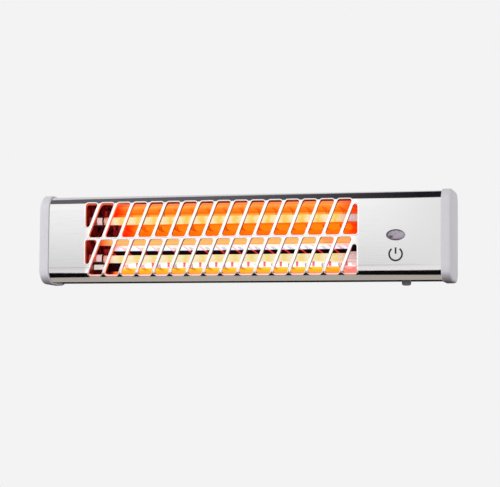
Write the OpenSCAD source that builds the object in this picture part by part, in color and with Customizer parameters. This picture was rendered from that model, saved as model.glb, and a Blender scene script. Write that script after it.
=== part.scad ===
// Wall-mounted electric bar heater: two quartz tubes behind a slotted steel cover,
// held by a tilting bracket. X runs along the heater, -Y is the front and +Z is up.
// The wall is the plane y = 0, and the origin lies midway between the two wall screws.

/* [Cover] */
// Length of the cover that shows between the end caps
cover_w = 519; // [500:1:640]
// Height of the cover
cover_h = 113.5; // [110:0.5:135]
// Outer radius of the bends at the top and bottom of the cover
bend_r = 19; // [12:0.5:22]
// Depth of the cover's flanges, measured from the face
cover_flange = 37; // [35:1:42]
// Thickness of the cover's stainless sheet
cover_t = 0.8; // [0.6:0.1:1.2]

/* [Grille] */
// Full slots in each row, between the two three-cornered end slots
slot_n = 15; // [10:1:16]
// Distance from one slot to the next
slot_pitch = 22.6; // [21:0.1:24]
// Width of a slot along the heater
slot_w = 18.6; // [14:0.1:20]
// Widths of the three-cornered slots at the left and right ends
left_corner_w = 17.2; // [14:0.1:20]
right_corner_w = 19.8; // [14:0.1:21]
// Lean of the slots from upright, in degrees
slot_lean = 21; // [10:1:24]
// Corner radius of the slots
slot_r = 3; // [1:0.1:4]
// Height of the upper row of slots
upper_slot_h = 45.3; // [40:0.1:47]
// Height of the lower row of slots, which runs into the bottom bend
lower_slot_h = 47.7; // [40:0.1:48]
// Width of the bar between the two rows
mid_bar = 3.3; // [3:0.1:8]
// Height of the middle of that bar
mid_z = -0.5; // [-3:0.1:3]
// Middle of the grille along the heater
grille_x = -27.5; // [-40:0.1:-15]

/* [Back shell] */
// Depth from the face to the outside of the shell's back
shell_d = 66; // [62:1:76]
// Thickness of the shell's steel
shell_t = 0.8; // [0.6:0.1:1.5]
// Outer radius of the shell's rear bends
shell_r = 6; // [3:0.5:10]
// Vent slots in each flange of the shell
vent_n = 14; // [6:1:18]

/* [End caps] */
// Thickness of the end cap that shows beside the cover
cap_w = 13.2; // [11:0.1:20]
// How far the cap stands proud of the cover, on every side
cap_proud = 2; // [1.6:0.1:4]
// Radius of the cap's two rear corners, seen from the side
cap_rear_r = 14; // [10:0.5:20]
// Radius that rounds the cap's outer edge
cap_edge_r = 4; // [2:0.5:6]
// How far the cover and the shell reach into each cap
cap_lap = 6.5; // [5:0.5:8]
// Wall of the cap
cap_wall = 2.2; // [1.6:0.1:3]

/* [Tubes] */
// Outside diameter of a quartz tube
tube_d = 10; // [9:0.5:12]
// Wall of a quartz tube
tube_wall = 1; // [0.8:0.1:1.5]
// Distance between the two tubes
tube_gap = 50.5; // [46:0.5:54]
// Depth of the tubes behind the face
tube_depth = 28; // [24:0.5:32]
// Outside diameter of a coil
coil_d = 7; // [5:0.1:7.2]
// Diameter of the heating wire
wire_d = 1.1; // [0.8:0.1:1.4]
// Curls in each coil
coil_n = 34; // [20:1:36]
// Outside diameter of a ceramic where it shows
ceramic_d = 14; // [13:0.5:17]
// Length of a ceramic inside the bulkhead
ceramic_len = 19; // [14:1:24]

/* [Reflector] */
// Thickness of the reflector sheet
reflector_t = 0.6; // [0.5:0.1:1]
// Depth of the bottom of each trough
trough_depth = 41; // [38:0.5:48]
// How far the edges of a trough stand forward of its bottom
trough_rise = 13.3; // [11:0.1:15]

/* [Indicator] */
// Distance of the lens from the middle of the heater
lens_x = 202.6; // [190:0.1:212]
// Width of the lens
lens_w = 24.3; // [18:0.1:30]
// Height of the lens
lens_h = 14.1; // [10:0.1:18]

/* [Pull switch] */
// Distance of the pull cord's outlet from the middle of the heater
switch_x = 209; // [200:0.5:230]
// Depth of the outlet behind the face
switch_depth = 48; // [47:0.5:50]
// Diameter of the pull rod
rod_d = 4; // [3:0.1:5]
// How far the rod is pulled
rod_travel = 8; // [5:0.5:9]
// Clearance round the rod, on the radius
rod_fit = 0.06; // [0.02:0.01:0.1]
// Outside diameter of the cord bush
bush_d = 12; // [11:0.5:15]
// How far the cord bush stands below the shell
bush_h = 5.6; // [4:0.1:8]

/* [Bracket] */
// Gap from the wall to the back of the end caps
wall_gap = 36; // [34:1:50]
// Distance between the outsides of the bracket's arms
arm_span = 220; // [180:1:280]
// Height of the bracket's strap
strap_h = 30; // [24:1:40]
// Thickness of the bracket and of the lugs
strap_t = 2; // [1.5:0.1:3]
// Distance of the pivot from the wall
pivot_gap = 20; // [19:0.5:22]
// Radius of the rounded end of an arm
arm_r = 10; // [8:0.5:11]
// Diameter of the pivot bolt's shank
bolt_d = 6; // [5:0.5:8]
// Clearance between the bolt and the lug, on the radius
pivot_fit = 0.05; // [0.02:0.01:0.1]
// Distance between the two wall screws
screw_span = 160; // [120:1:170]
// Diameter of the wall screw holes
screw_hole_d = 5.5; // [4:0.1:7]

/* [Hidden] */
$fn = 48;

// Colours
steel_colour = [0.86, 0.86, 0.85];
shell_colour = [0.20, 0.20, 0.21];
cap_colour = [0.82, 0.80, 0.83];
zinc_colour = [0.74, 0.75, 0.76];
mirror_colour = [0.93, 0.90, 0.86];
ceramic_colour = [0.93, 0.92, 0.88];
quartz_colour = [1.00, 0.62, 0.20];
coil_colour = [1.00, 0.42, 0.08];
brass_colour = [0.80, 0.66, 0.34];
black_colour = [0.10, 0.10, 0.11];
lens_colour = [0.66, 0.62, 0.70];
wire_colour = [0.90, 0.90, 0.86];
earth_colour = [0.45, 0.66, 0.20];

// Clearances
nest = 0.1;          // between nested sheets
seat = 0.05;         // between faces that sit on each other
hole_fit = 0.1;      // round a fastener, on the radius
cap_fit = 0.15;      // between the cap's skirt and the cover

// Places along Y
cap_d = shell_d + cap_proud;
face_y = -(wall_gap + cap_d);
function at_depth(d) = face_y + d;
shell_inner_d = shell_d - shell_t;
overlap = 6;
shell_front_d = cover_flange - overlap;
screw_depth = cover_flange - overlap / 2;

// The sheets inside one another
sheet_w = cover_w + 2 * cap_lap;
shell_h = cover_h - 2 * cover_t - 2 * nest;
inside_h = shell_h - 2 * shell_t - 2 * nest;

// Caps
cap_x = cover_w / 2;
cap_h = cover_h + 2 * cap_proud;
cap_front_r = bend_r + cap_proud;

// Grille
lean_run = tan(slot_lean);
upper_bottom_z = mid_z + mid_bar / 2;
lower_top_z = mid_z - mid_bar / 2;
upper_top_z = upper_bottom_z + upper_slot_h;
lower_bottom_z = lower_top_z - lower_slot_h;
grille_w = (slot_n + 1) * slot_pitch - slot_w - upper_slot_h * lean_run
         + left_corner_w + right_corner_w;
first_slot_x = grille_x - grille_w / 2 + left_corner_w + slot_pitch - slot_w;

// Element bay
bulkhead_t = 1;
bay_margin = 1.5;
bay_x0 = grille_x - grille_w / 2 - bay_margin;
bay_x1 = grille_x + grille_w / 2 + bay_margin;
tube_y = at_depth(tube_depth);
tube_z = [mid_z + tube_gap / 2, mid_z - tube_gap / 2];
bore_into_neck = 3;
neck_len = 9;
neck_d = ceramic_d - 1.2;
collar_d = ceramic_d + 3;
collar_t = 3;
tube_fit = 0.1;
coil_tail = 6;
pin_d = 2.3;
blade_len = 9;

// Pivot
pivot_y = -pivot_gap;
arm_in_x = arm_span / 2 - strap_t;
washer_t = 1;
lug_out_x = arm_in_x - washer_t - 2 * seat;
lug_in_x = lug_out_x - strap_t;
shell_back_y = at_depth(shell_d);
lug_foot_w = 30;
lug_h = 24;
rivet_d = 4;

// Switch
switch_y = at_depth(switch_depth);
floor_z = -shell_h / 2 + shell_t;
housing_w = 30;
housing_d = 21;
housing_h = 31;
housing_wall = 2.5;
cavity_r = 5.4;
nozzle_r = 5;
nozzle_len = 4.5;
collar_r = 4.8;
rod_collar_t = 3;
spring_r = 3.6;
spring_wire_d = 0.9;
spring_n = 6;
spring_pressed_h = 7;
spring_h = rod_travel + spring_pressed_h;
cavity_z = floor_z + seat + housing_wall;
collar_z = cavity_z + spring_h + 2 * seat;

// ---- shapes shared by the sub-parts ----

// Extrudes an outline of (y, z) points along X, from x0 to x1.
module along_x(x0, x1) {
    translate([x0, 0, 0])
        rotate([90, 0, 90])
            linear_extrude(x1 - x0)
                children();
}

// Extrudes an outline of (x, z) points through the depths d0 to d1.
module along_y(d0, d1) {
    translate([0, at_depth(d1), 0])
        rotate([90, 0, 0])
            linear_extrude(d1 - d0)
                children();
}

// A cylinder along X from x0 to x1, at a place given as y and z.
module rod_x(x0, x1, y, z, r) {
    translate([x0, y, z])
        rotate([0, 90, 0])
            cylinder(h = x1 - x0, r = r);
}

// A cylinder along Y from y0 to y1, at a place given as x and z.
module rod_y(y0, y1, x, z, r) {
    translate([x, y1, z])
        rotate([90, 0, 0])
            cylinder(h = y1 - y0, r = r);
}

// A cylinder along Z from z0 to z1, at a place given as x and y.
module rod_z(z0, z1, x, y, r) {
    translate([x, y, z0])
        cylinder(h = z1 - z0, r = r);
}

module box_between(a, b) {
    translate(a)
        cube(b - a);
}

function unit(v) = v / norm(v);

// Points of the arc that rounds corner v, between its neighbours a and b.
function corner_arc(a, v, b, r, n) =
    let (u = unit(a - v),
         w = unit(b - v),
         half = acos(u * w) / 2,
         c = v + unit(u + w) * r / sin(half),
         t0 = v + u * r / tan(half) - c,
         t1 = v + w * r / tan(half) - c,
         a0 = atan2(t0[1], t0[0]),
         a1 = atan2(t1[1], t1[0]),
         sweep = (a1 - a0 + 540) % 360 - 180)
    [for (i = [0:n]) c + r * [cos(a0 + sweep * i / n), sin(a0 + sweep * i / n)]];

// An outline with each corner i rounded to radius r[i].
function rounded(p, r, n) =
    let (m = len(p))
    [for (i = [0:m - 1]) each corner_arc(p[(i + m - 1) % m], p[i], p[(i + 1) % m], r[i], n)];

function box_points(y0, y1, z0, z1) = [[y0, z0], [y1, z0], [y1, z1], [y0, z1]];

// A slab rounded at its front: the solid side view of the cover, h high.
module round_front(h, y0, y1, r) {
    translate([y0 + r, -h / 2])
        square([y1 - y0 - r, h]);
    translate([y0, -h / 2 + r])
        square([r + 1, h - 2 * r]);
    for (s = [-1, 1])
        translate([y0 + r, s * (h / 2 - r)])
            circle(r);
}

// A stadium outline, long along x.
module stadium(l, w) {
    square([l - w, w], center = true);
    for (s = [-1, 1])
        translate([s * (l - w) / 2, 0])
            circle(w / 2);
}

function ellipse(w, h, n) = [for (i = [0:n - 1]) [w / 2 * cos(360 * i / n), h / 2 * sin(360 * i / n)]];

// A pan-head screw whose head sits at the origin and whose shank points down.
module pan_screw(head_r, head_h, shank_r, len) {
    translate([0, 0, seat])
        cylinder(h = head_h, r1 = head_r, r2 = head_r * 0.72);
    translate([0, 0, -len])
        cylinder(h = len + seat, r = shank_r);
}

// ---- grille ----

// Corners of one full slot between heights z0 and z1; x is its corner at the row's top.
function slot_corners(x, z0, z1, top_z) =
    let (run0 = (top_z - z0) * lean_run, run1 = (top_z - z1) * lean_run)
    [[x - run0, z0], [x + slot_w - run0, z0], [x + slot_w - run1, z1], [x - run1, z1]];

// The three-cornered slot at the left end: upright outer side, leaning inner side.
function left_corners(top_z) =
    let (x1 = first_slot_x - slot_pitch + slot_w, x0 = x1 - left_corner_w)
    [[x0, top_z - left_corner_w / lean_run], [x1, top_z], [x0, top_z]];

// The three-cornered slot at the right end.
function right_corners(z0, top_z) =
    let (x0 = first_slot_x + slot_n * slot_pitch - (top_z - z0) * lean_run)
    [[x0, z0], [x0 + right_corner_w, z0], [x0 + right_corner_w, z0 + right_corner_w / lean_run]];

module slot_row(z0, z1) {
    radii = [slot_r, slot_r, slot_r, slot_r];
    for (i = [0:slot_n - 1])
        polygon(rounded(slot_corners(first_slot_x + i * slot_pitch, z0, z1, z1), radii, 4));
    polygon(rounded(left_corners(z1), radii, 4));
    polygon(rounded(right_corners(z0, z1), radii, 4));
}

// ---- casing ----

cover_screw_xs = [-cover_w * 0.42, 0, cover_w * 0.42];

module front_cover() {
    color(steel_colour)
        difference() {
            along_x(-sheet_w / 2, sheet_w / 2)
                difference() {
                    round_front(cover_h, face_y, at_depth(cover_flange), bend_r);
                    round_front(cover_h - 2 * cover_t, face_y + cover_t,
                        at_depth(cover_flange) + 1, bend_r - cover_t);
                }
            along_y(-1, bend_r / 2)
                slot_row(upper_bottom_z, upper_top_z);
            along_y(-1, bend_r / 2)
                slot_row(lower_bottom_z, lower_top_z);
            along_y(-1, cover_t + 1)
                translate([lens_x, mid_z])
                    polygon(ellipse(lens_w - 2.4, lens_h - 2.4, 32));
            for (x = cover_screw_xs)
                rod_z(0, cover_h, x, at_depth(screw_depth), 1.4 + hole_fit);
            // Keeps the bottom flange clear of the cord bush, wherever the outlet is set
            rod_z(-cover_h, 0, switch_x, switch_y, bush_d / 2 + hole_fit);
        }
}

module cover_screws() {
    color(zinc_colour)
        for (x = cover_screw_xs)
            translate([x, at_depth(screw_depth), cover_h / 2])
                pan_screw(2.7, 1.5, 1.4, 6);
}

vent_depth = (cover_flange + 3 + shell_d - shell_r) / 2;

module back_shell() {
    color(shell_colour)
        difference() {
            along_x(-sheet_w / 2, sheet_w / 2)
                difference() {
                    mirrored_rear(shell_h, at_depth(shell_front_d), at_depth(shell_d), shell_r);
                    mirrored_rear(shell_h - 2 * shell_t, at_depth(shell_front_d) - 1,
                        at_depth(shell_inner_d), shell_r - shell_t);
                }
            for (i = [0:vent_n - 1])
                translate([bay_x0 + (i + 0.5) * (bay_x1 - bay_x0) / vent_n, at_depth(vent_depth), -cover_h])
                    linear_extrude(2 * cover_h)
                        rotate(90)
                            stadium(14, 4);
            for (x = cover_screw_xs)
                rod_z(0, cover_h, x, at_depth(screw_depth), 1.4 + hole_fit);
            rod_z(-cover_h, 0, switch_x, switch_y, nozzle_r + hole_fit);
            rod_y(shell_back_y - 5, shell_back_y + 5, gland_x, gland_z, gland_r + hole_fit);
            rear_holes(lug_rivet_places, rivet_d / 2 + hole_fit);
            rear_holes(bulkhead_screw_places, 1.5 + hole_fit);
            rear_holes(clamp_screw_places, 1.5 + hole_fit);
            rear_holes(cap_screw_places, 1.4 + hole_fit);
            rear_holes([[earth_x, earth_z]], 2 + hole_fit);
        }
}

// The slab of round_front, turned so that its rounded side is at the rear.
module mirrored_rear(h, y0, y1, r) {
    translate([y1 + y0, 0])
        mirror([1, 0])
            round_front(h, y0, y1, r);
}

// Round holes through the shell's back, at a list of (x, z) places.
module rear_holes(places, r) {
    for (p = places)
        rod_y(shell_back_y - 3, shell_back_y + 3, p[0], p[1], r);
}

// Side view of the end cap, drawn in by a given inset.
function cap_outline(inset) =
    rounded(box_points(face_y - cap_proud + inset, at_depth(cap_d) - inset,
                       -cap_h / 2 + inset, cap_h / 2 - inset),
            [max(1, cap_front_r - inset), max(1, cap_rear_r - inset),
             max(1, cap_rear_r - inset), max(1, cap_front_r - inset)], 7);

edge_steps = 4;
slice = 0.01;

// The cap's outer form: its side view, drawn in along the rounded outer edge.
module cap_form() {
    hull() {
        along_x(cap_x, cap_x + slice)
            polygon(cap_outline(0.6));
        along_x(cap_x + 0.6, cap_x + 0.6 + slice)
            polygon(cap_outline(0));
        for (i = [0:edge_steps])
            let (a = 90 * i / edge_steps)
                along_x(cap_x + cap_w - cap_edge_r + cap_edge_r * sin(a) - slice,
                        cap_x + cap_w - cap_edge_r + cap_edge_r * sin(a))
                    polygon(cap_outline(cap_edge_r * (1 - cos(a))));
    }
}

cap_screw_z = cap_h / 2 - 30;
cap_screw_x = cap_x + cap_lap / 2;
cap_screw_places = [for (s = [-1, 1]) for (z = [-cap_screw_z, cap_screw_z]) [s * cap_screw_x, z]];

module end_cap() {
    pocket_h = cover_h + 2 * cap_fit;
    difference() {
        cap_form();
        along_x(cap_x - 1, cap_x + cap_lap + 2 * cap_fit)
            intersection() {
                round_front(pocket_h, face_y - cap_fit, at_depth(cap_d), bend_r + cap_fit);
                mirrored_rear(pocket_h, face_y - cap_fit, at_depth(shell_d) + cap_fit,
                    shell_r + cap_fit);
            }
        along_x(cap_x + cap_lap, cap_x + cap_w - cap_wall)
            polygon(cap_outline(cap_proud + cap_wall));
        for (z = [-cap_screw_z, cap_screw_z])
            rod_y(shell_back_y - 1, shell_back_y + 6, cap_screw_x, z, 1.4 + hole_fit);
    }
    // Two ribs stiffen the side wall and stop the ends of the sheets.
    for (z = [-cap_h / 5, cap_h / 5])
        box_between([cap_x + cap_lap + 2 * cap_fit, at_depth(cap_proud + cap_wall), z - 0.8],
                    [cap_x + cap_w - cap_wall, at_depth(shell_d - cap_wall), z + 0.8]);
}

module right_end_cap() {
    color(cap_colour)
        end_cap();
}

module left_end_cap() {
    color(cap_colour)
        mirror([1, 0, 0])
            end_cap();
}

module cap_screws() {
    color(zinc_colour)
        for (p = cap_screw_places)
            translate([p[0], at_depth(cap_d), p[1]])
                rotate([-90, 0, 0])
                    pan_screw(2.7, 1.5, 1.4, 7);
}

// ---- element bay ----

foot_w = 12;
bulkhead_front_d = 1.4;
bulkhead_rear_y = at_depth(shell_inner_d) - seat;
bulkhead_screw_z = inside_h / 2 - 14;
bulkhead_screw_places = [for (x = [bay_x0 - bulkhead_t - foot_w / 2, bay_x1 + bulkhead_t + foot_w / 2])
                         for (z = [-bulkhead_screw_z, bulkhead_screw_z]) [x, z]];

// A sheet partition across the body, standing on one foot against the shell's back.
module bulkhead() {
    difference() {
        union() {
            along_x(0, bulkhead_t)
                polygon(rounded(box_points(at_depth(bulkhead_front_d), bulkhead_rear_y,
                                           -inside_h / 2, inside_h / 2),
                                [bend_r, shell_r, shell_r, bend_r], 6));
            box_between([0, bulkhead_rear_y - bulkhead_t, -inside_h / 2 + 8],
                        [foot_w, bulkhead_rear_y, inside_h / 2 - 8]);
        }
        for (z = tube_z)
            rod_x(-1, bulkhead_t + 1, tube_y, z, neck_d / 2 + hole_fit);
        for (z = [-bulkhead_screw_z, bulkhead_screw_z])
            rod_y(shell_back_y - 5, shell_back_y + 5, bulkhead_t + foot_w / 2, z, 1.5 + hole_fit);
        rod_x(-1, bulkhead_t + 1, lead_y, lead_z, 3.4);
    }
}

lead_y = at_depth(shell_inner_d - 9);
lead_z = mid_z;

module right_bulkhead() {
    color(zinc_colour)
        translate([bay_x1, 0, 0])
            bulkhead();
}

module left_bulkhead() {
    color(zinc_colour)
        translate([bay_x0, 0, 0])
            mirror([1, 0, 0])
                bulkhead();
}

module bulkhead_screws() {
    color(zinc_colour)
        for (p = bulkhead_screw_places)
            translate([p[0], shell_back_y, p[1]])
                rotate([-90, 0, 0])
                    pan_screw(2.8, 1.6, 1.5, 5);
}

trough_steps = 14;
wing_z = inside_h / 2 - 0.6;
wing_front_d = bend_r - 2;

// Points of a trough: flat round its middle and steep at its edges. The back line is set
// deeper on the steep parts, so that the sheet keeps its thickness.
function trough_points(middle, i0, i1, back) =
    [for (i = [i0:i1])
        let (q = i / trough_steps,
             slope = 5 * trough_rise * pow(q, 4) / (tube_gap / 2))
        [at_depth(trough_depth - trough_rise * pow(abs(q), 5) + back * norm([1, slope])),
         middle + q * tube_gap / 2]];

// The reflector's front line, bottom to top: a wing, two troughs that meet at a ridge, a wing.
function reflector_line(back) = concat(
    [[at_depth(wing_front_d), -wing_z + (back > 0 ? 0 : reflector_t)]],
    trough_points(tube_z[1], -trough_steps, trough_steps - 1, back),
    trough_points(tube_z[0], -trough_steps, trough_steps, back),
    [[at_depth(wing_front_d), wing_z - (back > 0 ? 0 : reflector_t)]]);

function reversed(p) = [for (i = [len(p) - 1:-1:0]) p[i]];

module reflector() {
    color(mirror_colour)
        along_x(bay_x0 + seat, bay_x1 - seat)
            polygon(concat(reflector_line(0), reversed(reflector_line(reflector_t))));
}

// ---- tubes ----

tube_in_x = -bore_into_neck + 0.3;

module quartz_tube(z) {
    color(quartz_colour)
        difference() {
            rod_x(bay_x0 + tube_in_x, bay_x1 - tube_in_x, tube_y, z, tube_d / 2);
            rod_x(bay_x0 - 10, bay_x1 + 10, tube_y, z, tube_d / 2 - tube_wall);
        }
}

module upper_quartz_tube() {
    quartz_tube(tube_z[0]);
}

module lower_quartz_tube() {
    quartz_tube(tube_z[1]);
}

// One ceramic on the X axis. The bulkhead's inner face is x = 0 and the tube runs to +X.
module ceramic() {
    color(ceramic_colour)
        rotate([0, 90, 0])
            rotate_extrude()
                polygon([
                    [pin_d / 2 + hole_fit, -neck_len],
                    [neck_d / 2, -neck_len],
                    [neck_d / 2, seat],
                    [collar_d / 2, seat],
                    [collar_d / 2, collar_t],
                    [ceramic_d / 2, collar_t],
                    [ceramic_d / 2, ceramic_len - 1],
                    [ceramic_d / 2 - 1, ceramic_len],
                    [tube_d / 2 + tube_fit, ceramic_len],
                    [tube_d / 2 + tube_fit, -bore_into_neck],
                    [pin_d / 2 + hole_fit, -bore_into_neck]]);
}

module at_left_end(z) {
    translate([bay_x0, tube_y, z])
        children();
}

module at_right_end(z) {
    translate([bay_x1, tube_y, z])
        mirror([1, 0, 0])
            children();
}

module upper_left_ceramic() {
    at_left_end(tube_z[0])
        ceramic();
}

module upper_right_ceramic() {
    at_right_end(tube_z[0])
        ceramic();
}

module lower_left_ceramic() {
    at_left_end(tube_z[1])
        ceramic();
}

module lower_right_ceramic() {
    at_right_end(tube_z[1])
        ceramic();
}

pin_x1 = -bore_into_neck + 2;
blade_x0 = -neck_len - blade_len;

// One terminal: a pin through the ceramic, a shoulder on it and a flat blade behind.
module terminal() {
    rod_x(-neck_len - 1.5, pin_x1, 0, 0, pin_d / 2);
    rod_x(-neck_len - 1.5, -neck_len - seat, 0, 0, 3);
    box_between([blade_x0, -0.4, -3.1], [-neck_len - 1.4, 0.4, 3.1]);
}

module tube_terminals() {
    color(brass_colour)
        for (z = tube_z) {
            at_left_end(z)
                terminal();
            at_right_end(z)
                terminal();
        }
}

// ---- wound forms ----

ring_sides = 6;
rings_per_curl = 8;

// A helix along X of n curls that starts and ends on its own axis, with straight tails.
// t counts curls; the radius opens over the first curl and closes over the last.
function helix_radius(t, n, r) = r * min(1, max(0, t), max(0, n - t));
function helix_points(n, r, len, tail) = concat(
    [[0, 0, 0]],
    [for (i = [0:n * rings_per_curl])
        let (t = i / rings_per_curl, a = 360 * t, q = helix_radius(t, n, r))
        [tail + (len - 2 * tail) * t / n, q * cos(a), q * sin(a)]],
    [[len, 0, 0]]);

// A spring's line: curls at full radius, the end curls lying close.
function spring_rise(t, n) =
    t < 1 ? 0.13 * t : (t > n - 1 ? 1 - 0.13 * (n - t) : 0.13 + 0.74 * (t - 1) / (n - 2));
function spring_points(n, r, h) =
    [for (i = [0:n * rings_per_curl])
        let (t = i / rings_per_curl, a = 360 * t)
        [spring_rise(t, n) * h, r * cos(a), r * sin(a)]];

function step_at(p, i) = unit(p[min(i + 1, len(p) - 1)] - p[max(i - 1, 0)]);

// Directions away from the X axis, one for each point of a helix.
function outward(p) = [for (i = [0:len(p) - 1])
    let (a = 360 * i / rings_per_curl)
    [0, cos(a), sin(a)]];

// A tube swept round the points, each ring square to the line and turned toward out[i].
module swept(p, wire_r, out) {
    m = len(p);
    rings = [for (i = [0:m - 1])
        let (f = step_at(p, i),
             side = unit(cross(f, out[i])),
             up = cross(side, f))
        each [for (k = [0:ring_sides - 1])
            let (b = 360 * k / ring_sides)
            p[i] + wire_r * (cos(b) * up + sin(b) * side)]];
    walls = [for (i = [0:m - 2]) for (k = [0:ring_sides - 1])
        let (a = i * ring_sides + k,
             b = i * ring_sides + (k + 1) % ring_sides,
             c = a + ring_sides,
             d = b + ring_sides)
        each [[a, b, d], [a, d, c]]];
    ends = [for (k = [1:ring_sides - 2]) each
        [[0, k + 1, k], [(m - 1) * ring_sides, (m - 1) * ring_sides + k, (m - 1) * ring_sides + k + 1]]];
    polyhedron(points = rings, faces = concat(walls, ends));
}

// Least gap between a line's neighbouring curls, from one wire surface to the next.
function least_gap(p, wire_r) = min([for (i = [0:len(p) - rings_per_curl + 1])
    for (j = [i + rings_per_curl - 2:min(i + rings_per_curl + 2, len(p) - 1)])
        norm(p[i] - p[j])]) - 2 * wire_r;

coil_x0 = bay_x0 + pin_x1 + seat;
coil_x1 = bay_x1 - pin_x1 - seat;
coil_line = helix_points(coil_n, (coil_d - wire_d) / 2, coil_x1 - coil_x0, coil_tail);
spring_line = spring_points(spring_n, spring_r, spring_h - spring_wire_d - 2 * seat);
echo(coil_gap = least_gap(coil_line, wire_d / 2), spring_gap = least_gap(spring_line, spring_wire_d / 2));

module heating_coil(z) {
    color(coil_colour)
        translate([coil_x0, tube_y, z])
            swept(coil_line, wire_d / 2, outward(coil_line));
}

module upper_heating_coil() {
    heating_coil(tube_z[0]);
}

module lower_heating_coil() {
    heating_coil(tube_z[1]);
}

// ---- wiring ----

bend_steps = 3;
lead_bend = 5;

// Three or more points of the curve that rounds corner v, between its neighbours a and b.
function bend_points(a, v, b) =
    let (reach = min(lead_bend, norm(a - v) / 2.2, norm(b - v) / 2.2),
         p0 = v + unit(a - v) * reach,
         p2 = v + unit(b - v) * reach)
    [for (i = [0:bend_steps])
        let (t = i / bend_steps)
        (1 - t) * (1 - t) * p0 + 2 * t * (1 - t) * v + t * t * p2];

// A lead that runs straight between points and bends smoothly at each.
module lead(points, r) {
    m = len(points);
    line = concat([points[0]],
        [for (i = [1:m - 2]) each bend_points(points[i - 1], points[i], points[i + 1])],
        [points[m - 1]]);
    swept(line, r, [for (q = line) lead_side]);
}

// No lead runs along this direction, from which its rings are turned.
lead_side = unit([0.41, 0.83, 0.37]);

lead_r = 1.2;
blade_gap = 0.2;

// The strap that joins the two left-hand blades, standing on their front sides.
module link_strap() {
    x0 = bay_x0 + blade_x0;
    color(brass_colour) {
        box_between([x0 + 1, tube_y - 0.4 - seat - 0.8, tube_z[1] - 3],
                    [x0 + 6, tube_y - 0.4 - seat, tube_z[0] + 3]);
    }
}

right_blade_x = bay_x1 - blade_x0;
left_blade_x = bay_x0 + blade_x0;
blade_rear_y = tube_y + 0.4 + blade_gap + lead_r;

module upper_lead() {
    color(wire_colour)
        lead([[right_blade_x - 4, blade_rear_y, tube_z[0]],
              [right_blade_x + 4, blade_rear_y, tube_z[0]],
              [switch_x + 5, blade_rear_y, tube_z[0] - 6],
              [switch_x + 5, switch_y - 5, 0],
              [switch_x + 5, switch_y - 5, switch_top_z + seat]], lead_r);
}

module lower_lead() {
    color(wire_colour)
        lead([[right_blade_x - 4, blade_rear_y, tube_z[1]],
              [right_blade_x + 3, blade_rear_y, tube_z[1]],
              [right_blade_x + 8, blade_rear_y + 4, -6],
              [switch_x - 4, switch_y - 5, -6],
              [switch_x - 4, switch_y - 5, switch_top_z + seat]], lead_r);
}

module return_lead() {
    color(wire_colour)
        lead([[left_blade_x + 4, blade_rear_y, tube_z[1]],
              [left_blade_x - 4, blade_rear_y, tube_z[1]],
              [left_blade_x - 4, lead_y, -12],
              [left_blade_x + 2, lead_y, lead_z],
              [bay_x1 + 16, lead_y, lead_z],
              [block_x - block_w / 2 - 6, block_wire_y, block_z + 3],
              [block_x - block_w / 2 - seat, block_wire_y, block_z + 3]], lead_r);
}

module feed_lead() {
    color(wire_colour) {
        lead([[block_x, block_wire_y, block_z + block_h / 2 + seat],
              [block_x, block_wire_y, block_z + block_h / 2 + 5],
              [cutout_x + 5, at_depth(52), block_z + block_h / 2 + 5],
              [cutout_x + 5, cutout_y + 2.2, cutout_z + 3],
              [cutout_x - 0.4, cutout_y + 2.2, cutout_z + 3]], lead_r);
        lead([[cutout_x - 0.4, cutout_y - 4.4, cutout_z + 3],
              [cutout_x + 7, cutout_y - 4.4, cutout_z + 3],
              [switch_x, switch_y + 2, 4],
              [switch_x, switch_y + 2, switch_top_z + seat]], lead_r);
    }
}

// Bimetal cut-out: a can on the right bulkhead with two tags.
cutout_y = at_depth(54);
cutout_z = inside_h / 2 - 22;
cutout_x = bay_x1 + bulkhead_t + 9;

module thermal_cutout() {
    color(black_colour) {
        rod_x(bay_x1 + bulkhead_t + seat, cutout_x - 2.4, cutout_y - 1, cutout_z, 7.5);
        for (y = [cutout_y - 4.4, cutout_y + 2.2])
            box_between([cutout_x - 2.6, y - 0.8, cutout_z - 2.5],
                        [cutout_x - 0.4 - blade_gap, y + 0.8, cutout_z + 4.5]);
    }
}

block_w = 26;
block_h = 15;
block_d = 13;
block_x = switch_x - 8;
block_z = 26;
block_y = at_depth(shell_inner_d) - seat - block_d;
block_wire_y = block_y + block_d / 2;

module terminal_block() {
    color(wire_colour)
        difference() {
            box_between([block_x - block_w / 2, block_y, block_z - block_h / 2],
                        [block_x + block_w / 2, block_y + block_d, block_z + block_h / 2]);
            for (i = [-1:1])
                rod_y(block_y - 1, block_y + 4, block_x + i * 8, block_z, 2.2);
        }
}

earth_x = bay_x1 + 30;
earth_z = -38;
earth_y = at_depth(shell_inner_d) - seat;

module earth_stud() {
    color(zinc_colour) {
        rod_y(earth_y - 8, shell_back_y + 0.6, earth_x, earth_z, 2);
        rod_y(shell_back_y + seat, shell_back_y + 2, earth_x, earth_z, 3.8);
        rod_y(earth_y - 3, earth_y, earth_x, earth_z, 3.6);
    }
}

module earth_lead() {
    color(earth_colour)
        lead([[earth_x, earth_y - 8 - lead_r - seat, earth_z],
              [earth_x, earth_y - 8 - lead_r - seat, earth_z + 8],
              [earth_x + 4, block_wire_y, 0],
              [block_x - 8, block_wire_y, block_z - block_h / 2 - 6],
              [block_x - 8, block_wire_y, block_z - block_h / 2 - seat]], lead_r);
}

// ---- indicator ----

lens_proud = 2.2;
lens_back_d = 5;

module indicator_lens() {
    color(lens_colour) {
        translate([lens_x, face_y - seat, mid_z])
            rotate([90, 0, 0]) {
                linear_extrude(0.8)
                    polygon(ellipse(lens_w, lens_h, 32));
                translate([0, 0, 0.8])
                    linear_extrude(lens_proud - 0.8, scale = 0.66)
                        polygon(ellipse(lens_w, lens_h, 32));
            }
        along_y(-seat - 0.1, lens_back_d)
            translate([lens_x, mid_z])
                polygon(ellipse(lens_w - 2.8, lens_h - 2.8, 32));
    }
}

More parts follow.
